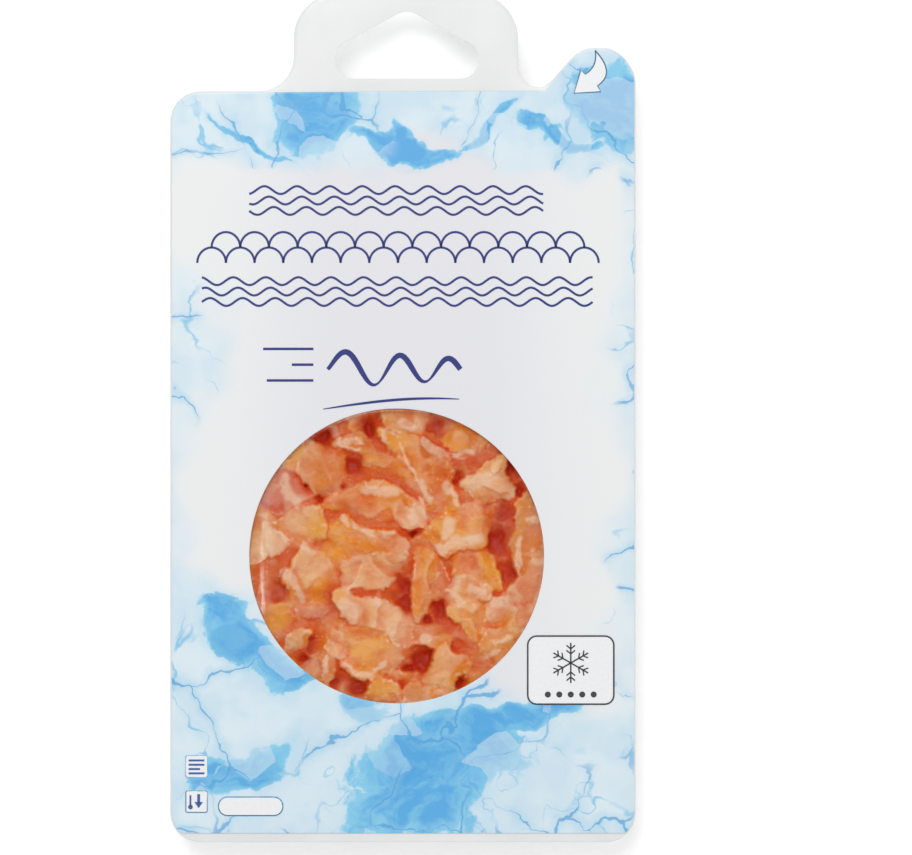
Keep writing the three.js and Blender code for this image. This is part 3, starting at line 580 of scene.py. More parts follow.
def edge_distance(points, ring):
    """Distance of each point from the closed line through the ring, more than 0 inside."""
    ends = np.roll(ring, -1, 0)
    run = ends - ring
    away = points[:, None, :] - ring[None]
    share = np.clip((away * run).sum(2) / (run**2).sum(1), 0, 1)
    distance = np.linalg.norm(away - share[..., None] * run, axis=2).min(1)
    x, y = points[:, :1], points[:, 1:]
    crosses = (ring[:, 1] > y) != (ends[:, 1] > y)
    rise = np.where(np.abs(run[:, 1]) < 1e-12, 1e-12, run[:, 1])
    hits = crosses & (x < ring[:, 0] + (y - ring[:, 1]) * run[:, 0] / rise)
    return np.where(hits.sum(1) % 2 == 1, distance, -distance)


def beyond_rim(corners):
    """Corners near the window's edge moved on under the print."""
    p = np.array(corners, float)
    r = np.hypot(*p.T)
    return p * np.where(r > 39, (r + 2.5) / r, 1)[:, None]


def relief(own):
    """Height of folds and fibres on a piece whose grain runs along own's first axis."""
    folds = 0.6 * noise(own * (0.5, 1, 1), 5.5, 31) + 0.22 * noise(own * (0.7, 1, 1), 2.4, 32)
    return folds + 0.12 * noise(own * (0.6, 1, 1), 1.0, 33)


def flakes(reach, own, seed):
    """Height of layers that end in steps towards the low side, how pale each lip is painted as a
    highlight, and how much warm shade is painted at each foot.
    """
    at = reach / drawn(seed, 61, *FLAKE_PITCH) + drawn(seed, 62, 0, 1) + 0.7 * noise(own, 6.0, 34)
    at = at + 0.07 * noise(own, 1.7, 35) + 0.05 * noise(own, 0.8, 37)
    part = at - np.floor(at)
    there = smooth_step(-0.2, 0.4, noise(own, 8.0, 38))
    rise = smooth_step(0.93, 1.0, part)
    pale = there * np.maximum(1 - smooth_step(0.0, 0.55, part), rise)
    warm = there * smooth_step(0.3, 0.9, part) * (1 - rise)
    return FLAKE_STEP * there * (rise - part), pale, warm


class Trimming:
    """One trimming over the part of the grid round it, from its row of TRIMMINGS."""

    def __init__(self, row, seed):
        self.tone, self.end_tone, heading, self.sink, rise, self.tilt, corners = row
        ring = ragged_outline(beyond_rim(corners), seed)
        low = np.searchsorted(STEPS, ring.min(0) - PATCH_MARGIN)
        high = np.searchsorted(STEPS, ring.max(0) + PATCH_MARGIN)
        self.box = tuple(slice(a, b + 1) for a, b in zip(low, high))
        flat = GRID[self.box].reshape(-1, 2)
        self.inside = edge_distance(flat, ring)
        middle = ring.mean(0)
        self.along, across = turned(flat - middle, heading)
        self.own = np.c_[self.along, across, np.zeros(len(flat))] + 37.0 * (seed + 3)
        self.reach = turned(flat - middle, rise)[0]
        self.farthest = turned(ring - middle, rise)[0].max()
        torn = self.reach / self.farthest + 0.5 * noise(self.own, 5.0, 40)
        self.high_side = smooth_step(-0.3, 0.6, torn)
        self.fold = relief(self.own)
        self.steps, self.pale, self.warm = flakes(self.reach, self.own, seed)

    def top(self):
        """Height of the upper face: sloping, slumped at its low side, and bevelled."""
        fall = math.tan(math.radians(self.tilt)) * (self.farthest - self.reach)
        near_edge = (1 - smooth_step(0, SLUMP_WIDTH, self.inside)) ** 1.5
        slump = SLUMP * (1 - self.high_side) * near_edge
        bevel = BEVEL * (1 - smooth_step(0, BEVEL_WIDTH, self.inside))
        return DEPTH - self.sink - fall - slump - bevel + self.fold + self.steps

    def colour(self):
        """Two tones along the grain, with patches, pale frayed edges, painted highlights and warm shade
        on folds and flakes, and crystals with painted glints.
        """
        own, inside = self.own, self.inside
        place = self.along / np.abs(self.along[inside > 0]).max() + 0.35 * noise(own, 5.0, 7)
        share = smooth_step(-0.8, 0.8, place)[:, None]
        near, far = (np.array(linear(*TONES[tone])) for tone in (self.tone, self.end_tone))
        colour = (1 - share) * near + share * far
        most = PLAIN_SHARE if self.tone in PLAIN_TONES else VARIETY_SHARE
        for k, (other, start, full) in enumerate(VARIETY):
            patch = noise(own * (0.6, 1, 1), 5.0, 61 + k)
            colour = toward(colour, other, most * smooth_step(start, full, patch))
        # Painted highlight on the tops of folds and painted warm shade in their hollows.
        colour = toward(colour, PALE_EDGE_AND_HIGHLIGHT, 0.15 * smooth_step(0.0, 0.6, self.fold))
        colour = toward(colour, WARM_SHADE, 0.3 * smooth_step(0.1, -0.6, self.fold))
        # Painted highlight at each flake's lip and painted warm shade at its foot.
        colour = toward(toward(colour, PALE_EDGE_AND_HIGHLIGHT, 0.3 * self.pale), WARM_SHADE, 0.3 * self.warm)
        frayed = smooth_step(-0.4, 0.3, noise(own, 2.6, 51)) * self.high_side
        colour = toward(colour, PALE_EDGE_AND_HIGHLIGHT, 0.4 * frayed * (1 - smooth_step(0.1, 1.2, inside)))
        # Crystals with painted glints all over, and more of them near the edge.
        glints_near_edge = (1 - smooth_step(0.3, 1.8, inside)) * smooth_step(-0.5, 0.2, noise(own, 4.0, 53))
        crystal_glints = smooth_step(0.25, 0.6, noise(own, 0.75, 52))
        return toward(colour, CRYSTAL_GLINT, (0.12 + 0.5 * glints_near_edge) * crystal_glints)


class Heap:
    """The trimmings' common surface on the grid: height, colour and how low it lies."""

    def __init__(self):
        self.lay_bed()
        for seed, row in enumerate(TRIMMINGS):
            self.lay(Trimming(row, seed))
        self.soften()
        self.grade()

    def lay_bed(self):
        """The lowest trimmings as one uneven bed, with hollows at the deep places."""
        at = FLAT_GRID
        self.gap = np.zeros(GRID.shape[:2])
        bent = GRID + 1.6 * np.stack([noise(at, 3.0, 45), noise(at, 3.0, 46)], -1)
        for x, y, reach in DEEP_PLACES:
            away = np.hypot(bent[..., 0] - x, bent[..., 1] - y) / (1.2 * reach)
            self.gap = np.maximum(self.gap, np.exp(-(away**2)))
        out = np.hypot(GRID[..., 0], GRID[..., 1])
        self.gap *= 1 - smooth_step(*DEEP_EDGE, out)
        sink = BED_SINK + (BED_RIM_SINK - BED_SINK) * smooth_step(*BED_EDGE, out)
        self.height = DEPTH - sink - BED_DIP * self.gap + layered(at, BED_NOISE)
        warm = smooth_step(-0.4, 0.5, noise(at, 7.0, 44))[..., None]
        deep, light = (np.array(linear(*TONES[tone])) for tone in BED_TONES)
        self.colour = (1 - warm) * deep + warm * light

    def lay(self, piece):
        """Puts one trimming on what lies there already, with painted warm shade, and painted red shade
        where the step is tall, on what lies round its edge.
        """
        under = self.height[piece.box].ravel()
        top, colour = piece.top(), piece.colour()
        step = top - under
        # Painted shade on the lower surface next to the trimming's edge.
        touch = np.exp(np.minimum(piece.inside, 0) / CONTACT_REACH)
        shade = CONTACT_SHADE * smooth_step(0.0, 1.6, step) * touch
        lower = toward(self.colour[piece.box].reshape(-1, 3), WARM_SHADE, shade)
        lower = toward(lower, RED_HOLLOW_SHADE, 0.6 * shade * smooth_step(0.8, 2.6, step))
        share = smooth_step(-EDGE_BLEND, EDGE_BLEND, piece.inside)
        height = under + share * (np.maximum(top, under + SEAT) - under)
        shape = self.height[piece.box].shape
        self.height[piece.box] = height.reshape(shape)
        self.colour[piece.box] = (lower + share[:, None] * (colour - lower)).reshape(*shape, 3)

    def soften(self):
        """Adds membranes and folds, fills deep crevices and presses the top under the film."""
        self.membrane, self.crease = strokes(MEMBRANES, 1), strokes(FOLDS, 2)
        height = self.height + MEMBRANE_RISE * self.membrane - FOLD_DIP * self.crease
        around = blurred(height, HOLLOW_SPREAD)
        height = np.maximum(blurred(height, 0.21), around - CREVICE - GAP_DEPTH * self.gap)
        height = blurred(height, 0.12)
        low_top = FIRM_TOP - FIRM_REACH
        pressed = low_top + FIRM_REACH * np.tanh((height - low_top) / FIRM_REACH)
        self.height = np.where(height > low_top, pressed, height)

    def grade(self):
        """Paints shade in hollows, creases and deep places, a glow on steep sides and the light inside
        the flesh, from how the surface lies, and finds what counts as low.
        """
        height, depth = self.height, DEPTH - self.height
        hollow = blurred(height, HOLLOW_SPREAD) - height
        slope = np.hypot(*np.gradient(height, CELL))
        # Painted warm shade in hollows and along the creases.
        colour = toward(self.colour, WARM_SHADE, 0.5 * smooth_step(0.1, 1.4, hollow))
        colour = toward(colour, WARM_SHADE, 0.5 * self.crease)
        colour = toward(colour, PALE_EDGE_AND_HIGHLIGHT, 0.7 * smooth_step(0.15, 0.75, self.membrane))
        # Painted shade that grows darker and redder the deeper the surface lies.
        colour = toward(colour, DEEP_SHADE, 0.6 * smooth_step(1.8, 3.4, depth))
        deep = smooth_step(2.6, 4.4, depth)
        colour = toward(colour, RED_HOLLOW_SHADE, 0.85 * deep)
        self.low = np.maximum(deep, 0.6 * smooth_step(0.3, 1.6, hollow))
        # Painted glow on steep sides, standing in for light through the flesh.
        steep = 0.5 * (1 - self.low) * smooth_step(0.7, 2.2, slope)
        colour = toward(colour, STEEP_GLOW, steep)
        self.colour = np.minimum(blurred(colour, 0.12) * TRANSLUCENCY, 0.95)


def mark(piece, colour, grain, low):
    """Gives a piece's points what the flesh material reads."""
    for key, kind, part, values in (
        ("tint", "FLOAT_COLOR", "color", np.c_[colour, np.ones(len(colour))]),
        ("grain", "FLOAT_VECTOR", "vector", grain),
        ("low", "FLOAT", "value", low),
    ):
        layer = piece.data.attributes.new(key, kind, "POINT")
        layer.data.foreach_set(part, np.ascontiguousarray(values, np.float32).ravel())


def bed_faces(z):
    """Triangles over the grid's cells on the bed, split along the diagonal more level in z."""
    on_bed = np.hypot(GRID[..., 0], GRID[..., 1]) < BED_REACH
    i, j = np.nonzero(on_bed[:-1, :-1] & on_bed[1:, :-1] & on_bed[1:, 1:] & on_bed[:-1, 1:])
    a = i * len(STEPS) + j
    b, c, d = a + len(STEPS), a + len(STEPS) + 1, a + 1
    level = (np.abs(z[a] - z[c]) < np.abs(z[b] - z[d]))[:, None]
    return np.concatenate([
        np.where(level, np.stack([a, b, c], 1), np.stack([a, b, d], 1)),
        np.where(level, np.stack([a, c, d], 1), np.stack([b, c, d], 1)),
    ])


def rim_edges(faces):
    """The edges, as pairs of points, that only one face has."""
    edges = np.concatenate([faces[:, [0, 1]], faces[:, [1, 2]], faces[:, [2, 0]]])
    count = edges.max() + 1
    return edges[~np.isin(edges @ (count, 1), edges @ (1, count))]


def trimmings_piece(material):
    """The trimmings as one closed skin over the grid, pressed together as in the pack."""
    heap = Heap()
    z = heap.height.ravel()
    faces = bed_faces(z)
    used, numbers = np.unique(faces, return_inverse=True)
    faces = numbers.reshape(-1, 3)

    # Walls from the rim down to its foot, and a base from there to the middle.
    edges = rim_edges(faces)
    rim = np.unique(edges)
    middle = len(used) + len(rim)
    (start, end), (foot, next_foot) = edges.T, (len(used) + np.searchsorted(rim, edges)).T
    centre = np.full(len(edges), middle)
    walls = np.stack([end, start, foot, end, foot, next_foot, next_foot, foot, centre], 1)

    flat = GRID.reshape(-1, 2)[used]
    points = np.concatenate([np.c_[flat, z[used]], at_height(flat[rim], BED_BASE), [(0, 0, BED_BASE)]])
    points[:, :2] += WINDOW
    colour, low = heap.colour.reshape(-1, 3)[used], heap.low.ravel()[used]
    colour = np.concatenate([colour, colour[rim], [linear(*RED_HOLLOW_SHADE)]])
    low = np.concatenate([low, low[rim], [1]])
    faces = np.concatenate([faces, walls.reshape(-1, 3)])
    piece = mesh_object("salmon_trimmings", points, faces, material)
    mark(piece, colour, points, low)
    return piece


# ---------------------------------------------------------------- outlines


def arc(x, y, radius, start, end, count=12):
    a = np.radians(np.linspace(start, end, count + 1))
    return np.c_[x + radius * np.cos(a), y + radius * np.sin(a)]


def bezier(*controls, count=10):
    t = np.linspace(0, 1, count + 1)[:, None]
    points = [np.array(c, float) * np.ones_like(t) for c in controls]
    while len(points) > 1:
        points = [(1 - t) * p + t * q for p, q in zip(points, points[1:])]
    return points[0]


def chain(*parts):
    """Points of several stretches in a row, without doubled ones."""
    points = np.concatenate([np.atleast_2d(np.array(p, float)) for p in parts])
    apart = np.linalg.norm(points - np.roll(points, 1, axis=0), axis=1) > 1e-4
    return points[apart]


def ear(inset):
    side, peak = BODY_HALF - inset, EAR_PEAK - inset
    run = np.subtract(EAR_FLANK_HIGH, EAR_FLANK_LOW)
    inward = np.array([run[1], -run[0]]) / np.linalg.norm(run) * inset
    high, low = EAR_FLANK_HIGH + inward, EAR_FLANK_LOW + inward
    return chain(
        bezier((side, EAR_LOW), (side, EAR_SHOULDER[1]), (EAR_SHOULDER[0], peak),
               (EAR_PEAK_END, peak)),
        bezier((EAR_PEAK_START, peak), (EAR_PEAK_TURN_X, peak), high),
        low,
    )


def tray_outline():
    right, left = TAB_CENTRE + TAB_HALF, TAB_CENTRE - TAB_HALF
    shoulder, flare = TAB_TOP - TAB_CORNER, BODY_TOP + TAB_FLARE
    x, low, high = BODY_HALF - BODY_CORNER, BODY_BOTTOM + BODY_CORNER, BODY_TOP - BODY_CORNER
    return chain(
        arc(x, low, BODY_CORNER, -90, 0),
        ear(0),
        bezier(EAR_FLANK_LOW, (EAR_VALLEY_TURN_X, EAR_VALLEY[1]), EAR_VALLEY),
        bezier(EAR_VALLEY, (right, EAR_VALLEY[1]), (right, flare)),
        arc(right - TAB_CORNER, shoulder, TAB_CORNER, 0, 90),
        arc(left + TAB_CORNER, shoulder, TAB_CORNER, 90, 180),
        arc(left - TAB_FLARE, flare, TAB_FLARE, 0, -90),
        arc(-x, high, BODY_CORNER, 90, 180),
        arc(-x, low, BODY_CORNER, 180, 270),
    )


def film_outline(inset=FILM_EDGE):
    x, low, high = BODY_HALF - BODY_CORNER, BODY_BOTTOM + BODY_CORNER, BODY_TOP - BODY_CORNER
    radius = BODY_CORNER - inset
    foot = math.degrees(math.asin((BODY_CORNER - FILM_FOOT_MARGIN) / radius))
    return chain(
        arc(x, low, radius, -foot, 0),
        ear(inset),
        (EAR_VALLEY_TURN_X, BODY_TOP),
        arc(-x, high, radius, 90, 180),
        arc(-x, low, radius, 180, 180 + foot),
    )


def mouth_outline(inset):
    radius = MOUTH_CORNER - inset
    x = MOUTH_HALF_X - inset - radius
    low, high = MOUTH_LOW + inset + radius, MOUTH_HIGH - inset - radius
    return chain(arc(x, low, radius, -90, 0), arc(x, high, radius, 0, 90),
                 arc(-x, high, radius, 90, 180), arc(-x, low, radius, 180, 270))


def rounded(corners):
    """A closed outline through corners, each an x, a y and the radius that rounds it."""
    stretches = []
    for i, (x, y, radius) in enumerate(corners):
        corner = np.array([x, y])
        before = np.array(corners[i - 1][:2]) - corner
        after = np.array(corners[(i + 1) % len(corners)][:2]) - corner
        before, after = before / np.linalg.norm(before), after / np.linalg.norm(after)
        half_angle = math.acos(before @ after) / 2
        inward = (before + after) / np.linalg.norm(before + after)
        centre = corner + inward * radius / math.sin(half_angle)
        start, end = (corner + d * radius / math.tan(half_angle) for d in (before, after))
        a, b = (math.degrees(math.atan2(*(p - centre)[::-1])) for p in (start, end))
        if b < a:
            b += 360
        stretches.append(arc(*centre, radius, a, b))
    return chain(*stretches)


def slot_outline():
    left, right = SLOT_CENTRE - SLOT_HALF, SLOT_CENTRE + SLOT_HALF
    return rounded([
        (SLOT_CENTRE, SLOT_APEX, SLOT_APEX_RADIUS),
        (left, SLOT_SHOULDER, SLOT_SHOULDER_RADIUS),
        (left, SLOT_FOOT, SLOT_FOOT_RADIUS),
        (right, SLOT_FOOT, SLOT_FOOT_RADIUS),
        (right, SLOT_SHOULDER, SLOT_SHOULDER_RADIUS),
    ])


def inset_outline(outline, distance):
    """The outline moved inwards, by one distance or by one for each point."""
    along = np.roll(outline, -1, axis=0) - np.roll(outline, 1, axis=0)
    along /= np.linalg.norm(along, axis=1, keepdims=True)
    inward = np.c_[-along[:, 1], along[:, 0]]
    return outline + inward * np.reshape(distance, (-1, 1))


def angles_of(*outlines, every=1.5):
    """Angles round the window's centre, evenly spread and at each outline's own points."""
    found = [np.radians(np.arange(0, 360, every))]
    for outline in outlines:
        away = outline - WINDOW
        found.append(np.arctan2(away[:, 1], away[:, 0]) % (2 * math.pi))
    angles = np.sort(np.concatenate(found))
    return angles[np.diff(angles, prepend=-1) > 2e-4]


def hit(outline, angles):
    """Where rays from the window's centre meet an outline that they each cross once."""
    a = outline - WINDOW
    b = np.roll(a, -1, axis=0)
    ray = np.c_[np.cos(angles), np.sin(angles)][:, None]
    side_a = ray[..., 0] * a[:, 1] - ray[..., 1] * a[:, 0]
    side_b = ray[..., 0] * b[:, 1] - ray[..., 1] * b[:, 0]
    t = side_a / np.where(side_a == side_b, 1, side_a - side_b)
    met = a + t[..., None] * (b - a)
    ahead = (met * ray).sum(-1)
    good = (t >= -1e-9) & (t <= 1 + 1e-9) & (ahead > 0) & (side_a != side_b)
    return WINDOW + ray[:, 0] * np.where(good, ahead, -1).max(1)[:, None]


def at_height(ring, z):
    return np.c_[ring, np.full(len(ring), z)]


def radial_faces(rings, count, wrap=False):
    """Quads between rings that follow each other."""
    faces = []
    for k in range(rings if wrap else rings - 1):
        after = (k + 1) % rings
        for i in range(count):
            j = (i + 1) % count
            faces.append((k * count + i, k * count + j, after * count + j, after * count + i))
    return faces


def flipped(faces):
    return [face[::-1] for face in faces]


def closed_skin(rings, first, last):
    """Points and faces of a skin through the rings, with a fan to a point at either end."""
    count = len(rings[0])
    end, a, b = (len(rings) - 1) * count, len(rings) * count, len(rings) * count + 1
    faces = radial_faces(len(rings), count)
    for i in range(count):
        j = (i + 1) % count
        faces += [(a, j, i), (b, end + i, end + j)]
    return np.concatenate([*rings, [first, last]]), faces


# ---------------------------------------------------------------- tray

# The tab's rim is rolled over a wider band than the body's, which the film covers.
BODY_ROLL, TAB_ROLL, ROLL_DROP = 0.45, 1.4, 0.6
MOUTH_ROLL = [(-0.15, 0.28), (-0.5, 0.06), (-0.9, 0.0)]  # inset and drop of each ring
WALL_RISES = (0.35, 0.7, 0.93)
LIP_BEVEL, LIP_FILLET = 0.15, 0.2
SLOT_CUT_LOW, SLOT_CUT_HIGH = DEPTH - 4, DEPTH + 2
CREASE_ANGLE = 40


def tray_material():
    """Milky plastic, satin and slightly uneven."""
    s = Shader("tray_plastic")
    at = s.place()
    haze = s.noise(at, 30, 3)
    fine = s.noise(at, 1.5, 2)
    colour = s.mix(s.ramp(haze, 0.3, 0.7), linear(226, 228, 228), linear(233, 234, 233))
    return s.surface(Base_Color=colour, Roughness=s.ramp(fine, 0.2, 0.8, 0.28, 0.4),
                     Normal=s.bump(haze, 0.25, 0.3), Subsurface_Weight=0.3,
                     Subsurface_Radius=(1.0, 1.0, 1.0), Subsurface_Scale=1.5 * MM, IOR=1.5)


def floor_fillet(radius, angles, steps):
    """Rings from the flat floor up to the wall, round the edge of the floor."""
    inset, z = DRAFT + FLOOR_FILLET, SHEET + FLOOR_FILLET
    rings = []
    for t in np.linspace(90, 0, steps):
        a = math.radians(t)
        ring = hit(mouth_outline(inset - radius * math.cos(a)), angles)
        rings.append(at_height(ring, z - radius * math.sin(a)))
    return rings


def wall(shift, angles):
    """Rings up the inner face of the tray, or with a shift of SHEET up the outer face."""
    rings = floor_fillet(FLOOR_FILLET + shift, angles, 7)
    low = SHEET + FLOOR_FILLET
    for rise in WALL_RISES:
        ring = hit(mouth_outline(DRAFT * (1 - rise) - shift), angles)
        rings.append(at_height(ring, low + rise * (DEPTH - low)))
    return rings


def rim_rings(outline, angles):
    """Rings over the mouth's rounded edge and the flange to its rolled outer edge."""
    rings = []
    for inset, drop in MOUTH_ROLL:
        rings.append(at_height(hit(mouth_outline(inset), angles), DEPTH - drop))
    on_tab = smooth_step(BODY_TOP - 1, BODY_TOP + 4, outline[:, 1])
    on_tab = on_tab * smooth_step(40, 34, outline[:, 0])
    roll = BODY_ROLL + (TAB_ROLL - BODY_ROLL) * on_tab
    for t in np.linspace(0, 90, 6):
        a = math.radians(t)
        ring = inset_outline(outline, roll * (1 - math.sin(a)))
        rings.append(at_height(hit(ring, angles), DEPTH - ROLL_DROP * (1 - math.cos(a))))
    return rings


def lip_rings(outline, angles):
    """Rings down the turned lip, up its inner side and in under the flange."""
    foot, flange = DEPTH - LIP_DROP, DEPTH - SHEET
    rings = []
    for inset, z in (
        (0, foot + LIP_BEVEL),
        (LIP_BEVEL, foot),
        (LIP_WIDTH - LIP_BEVEL, foot),
        (LIP_WIDTH, foot + LIP_BEVEL),
        (LIP_WIDTH, flange - LIP_FILLET),
        (LIP_WIDTH + LIP_FILLET, flange),
    ):
        rings.append(at_height(hit(inset_outline(outline, inset), angles), z))
    rings.append(at_height(hit(mouth_outline(-SHEET - 0.6), angles), flange))
    return rings


def tray_piece(material):
    """The tray as one closed skin, from the middle of its floor round to its underside."""
    outline = tray_outline()
    angles = angles_of(outline, mouth_outline(0))
    rings = [
        *wall(0, angles),
        *rim_rings(outline, angles),
        *lip_rings(outline, angles),
        *wall(SHEET, angles)[::-1],
    ]
    points, faces = closed_skin(rings, (*WINDOW, SHEET), (*WINDOW, 0))
    tray = mesh_object("tray_shell", points, flipped(faces), material)
    cut_slot(tray, material)
    return tray


def cut_slot(tray, material):
    """Cuts the hang hole out of the tab."""
    outline = slot_outline()
    count = len(outline)
    points = np.concatenate([at_height(outline, z) for z in (SLOT_CUT_LOW, SLOT_CUT_HIGH)])
    faces = radial_faces(2, count)
    faces += [tuple(range(count))[::-1], tuple(range(count, 2 * count))]
    cutter = mesh_object("slot_cutter", points, faces, material, smooth=False)
    cut = tray.modifiers.new("slot", "BOOLEAN")
    cut.operation, cut.object, cut.solver = "DIFFERENCE", cutter, "EXACT"
    bake_modifiers(tray)
    sharpen(tray.data, CREASE_ANGLE)
    bpy.data.objects.remove(cutter)


def sharpen(mesh, angle):
    """Keeps a crease wherever two faces meet at more than an angle in degrees."""
    shape = bmesh.new()
    shape.from_mesh(mesh)
    for edge in shape.edges:
        edge.smooth = edge.calc_face_angle(0) < math.radians(angle)
    shape.to_mesh(mesh)
    shape.free()


def bake_modifiers(piece):
    """Applies a piece's modifiers to its mesh."""
    bpy.context.view_layer.update()
    shape = bpy.data.meshes.new_from_object(
        piece.evaluated_get(bpy.context.evaluated_depsgraph_get()))
    piece.modifiers.clear()
    piece.data = shape


# ---------------------------------------------------------------- film

FILM_DOME = 0.25  # how far the film rises over the middle of the cavity
FILM_BEVEL, FILM_BEVEL_DROP = 0.12, 0.06


def film_height(points):
    """Height of the film's upper face: flat on the flange, slightly domed over the cavity."""
    x = 1 - (points[:, 0] / MOUTH_HALF_X) ** 2
    middle, half = (MOUTH_HIGH + MOUTH_LOW) / 2, (MOUTH_HIGH - MOUTH_LOW) / 2
    y = 1 - ((points[:, 1] - middle) / half) ** 2
    dome = np.clip(x, 0, 1) * np.clip(y, 0, 1)
    return DEPTH + FILM + FILM_DOME * dome


# Ink fields of the print: x and y of the centre, half sizes, and turn in degrees.
INK_FIELDS = [
    (12, -101, 33, 17, 12), (36, -80, 22, 6, 28), (-46, -62, 20, 8, -38),
    (-50, -99, 14, 8, 20), (-12, -84, 10, 6, -50), (-22, 85, 9, 12, -35),
    (-4, 78, 20, 2.4, -8), (24, 82, 14, 2.6, 25), (44, 77, 13, 2.4, -18),
    (-42, 80, 16, 1.6, -30), (57, 86, 9, 13, -12),
]

WHITE_MIDDLE, WHITE_SIDES = (228, 228, 233), (236, 238, 238)
ICE_DARK, ICE_LIGHT = (200, 226, 240), (218, 235, 243)
INK_BLEED, INK_PALE, INK_STRONG = (168, 214, 238), (132, 205, 236), (72, 168, 228)
STRAND, PLATE, FACET = (112, 192, 232), (214, 231, 241), (70, 160, 220)
VEIN_SIDES, VEIN = (150, 205, 235), (78, 164, 220)


def ice_share(s, at, swirl):
    """Where the ice lies: a band at the head, a wide field at the foot, traces at the sides."""
    x, y, _ = s.split(at)
    wander = s.split(s.scaled(swirl, 60.0))
    head = s.ramp(s.maths("ADD", y, wander[0]), 66, 76)
    lean = s.maths("ADD", s.times(x, 0.2), s.maths("ADD", y, wander[1]))
    foot = s.ramp(lean, -54, -74)
    side = s.ramp(s.maths("ADD", s.maths("ABSOLUTE", x), wander[2]), 54, 66, 0.0, 0.75)
    return s.maths("MAXIMUM", s.maths("MAXIMUM", head, foot), side)


def ink_depth(s, flow):
    """How far inside the nearest ink field's torn outline a point lies."""
    ink = None
    for x, y, half_x, half_y, turn in INK_FIELDS:
        local = s.put("Mapping", settings={"vector_type": "TEXTURE"}, Vector=flow,
                      Location=(x, y, 0), Rotation=(0, 0, math.radians(turn)),
                      Scale=(half_x, half_y, 1e6))
        out = s.put("VectorMath", 1, {"operation": "LENGTH"}, i0=local)
        inside = s.maths("SUBTRACT", 1.0, out)
        ink = s.maths("MAXIMUM", ink, inside) if ink else inside
    torn = s.maths("SUBTRACT", s.noise(flow, 16, 7, 0.62), 0.5)
    return s.maths("ADD", ink, s.times(torn, 1.6))


def voronoi(s, at, size, feature, outlet):
    """Straight-edged cells: the colour of each, or the distance to the nearest edge."""
    return s.put("TexVoronoi", outlet, {"feature": feature}, Vector=at, Scale=1 / size)


def drift(s, at, size, detail):
    """A vector that wanders from -0.5 to 0.5 along each axis."""
    return s.vector("SUBTRACT", s.noise(at, size, detail, colour=True), (0.5, 0.5, 0.5))


def white_and_ice(s, at, ice):
    """White, a little darker at the middle, with a pale blue tint where the ice lies."""
    middle = s.ramp(s.maths("ABSOLUTE", s.split(at)[0]), 15, 60)
    white = s.mix(middle, linear(*WHITE_MIDDLE), linear(*WHITE_SIDES))
    tint = s.mix(s.ramp(s.noise(at, 12, 2), 0.35, 0.65), linear(*ICE_DARK), linear(*ICE_LIGHT))
    return s.mix(s.times(ice, 0.9), white, tint)


def with_ink(s, colour, flow, depth, crisp):
    """Clouded ink in the fields, with a pale bleed round them."""
    colour = s.toned(colour, s.times(s.ramp(depth, -0.45, 0.5), 0.45), INK_BLEED)
    clouds = s.noise(s.vector("MULTIPLY", flow, (1.0, 1.8, 1.0)), 7, 4, 0.6)
    strong = s.times(s.ramp(depth, 0.12, 0.55), s.ramp(clouds, 0.35, 0.6, 0.45))
    blue = s.mix(strong, linear(*INK_PALE), linear(*INK_STRONG))
    return s.mix(s.times(crisp, 0.92), colour, blue)


def with_strands(s, colour, at, flow, ice):
    """Strands of ink that follow the flow of the water."""
    level = s.maths("ABSOLUTE", s.maths("SUBTRACT", s.noise(flow, 30, 3, 0.5), 0.5))
    width = s.ramp(s.noise(at, 10, 2), 0.4, 0.7, 0.004, 0.03)
    patchy = s.ramp(s.noise(at, 18, 2), 0.42, 0.6)
    strand = s.times(s.ramp(level, width, 0.0), patchy, s.ramp(ice, 0.2, 0.6), 0.8)
    return s.toned(colour, strand, STRAND)


def with_plates(s, colour, at, ice, crisp):
    """Plates of ice: straight-edged pale shards, and blue ones in the ink."""
    shade = s.put("SeparateColor", 0, Color=voronoi(s, at, 10.0, "F1", 1))
    plate = s.times(s.ramp(shade, 0.74, 0.76), s.ramp(ice, 0.3, 0.7), 0.4)
    facet = s.times(s.ramp(shade, 0.3, 0.0), crisp, 0.3)
    return s.toned(s.toned(colour, plate, PLATE), facet, FACET)


def with_veins(s, colour, at, bent, ice):
    """Veins: fine darker lines, each with a soft run of ink on both sides."""
    edge = voronoi(s, bent, 24.0, "DISTANCE_TO_EDGE", 0)
    width = s.ramp(s.noise(at, 14, 2), 0.35, 0.7, 0.004, 0.03)
    vein = s.ramp(s.maths("DIVIDE", edge, width), 1.0, 0.4)
    here = s.times(s.ramp(ice, 0.25, 0.6), s.ramp(s.noise(at, 22, 2), 0.4, 0.55))
    colour = s.toned(colour, s.times(s.ramp(edge, 0.1, 0.0), here, 0.35), VEIN_SIDES)
    return s.toned(colour, s.times(vein, here, 0.75), VEIN)


def print_material():
    """White film printed with pale ice: plates, torn ink fields and fine dark veins."""
    s = Shader("printed_film")
    at = s.place()
    swirl, ripple = drift(s, at, 38, 2), drift(s, at, 9, 3)
    fine = s.scaled(ripple, 9.0)
    flow = s.vector("ADD", at, s.vector("ADD", s.scaled(swirl, 34.0), fine))
    bent = s.vector("ADD", at, s.vector("ADD", s.scaled(swirl, 20.0), fine))
    ice = ice_share(s, at, swirl)
    depth = ink_depth(s, flow)
    crisp = s.ramp(depth, 0.08, 0.2)

    colour = white_and_ice(s, at, ice)
    colour = with_ink(s, colour, flow, depth, crisp)
    colour = with_strands(s, colour, at, flow, ice)
    colour = with_plates(s, colour, s.vector("ADD", at, s.scaled(ripple, 5.0)), ice, crisp)
    colour = with_veins(s, colour, at, bent, ice)
    normal = s.bump(s.noise(at, 25, 3), 0.3, 0.3)
    return s.surface(Base_Color=colour, Roughness=0.3, Normal=normal)


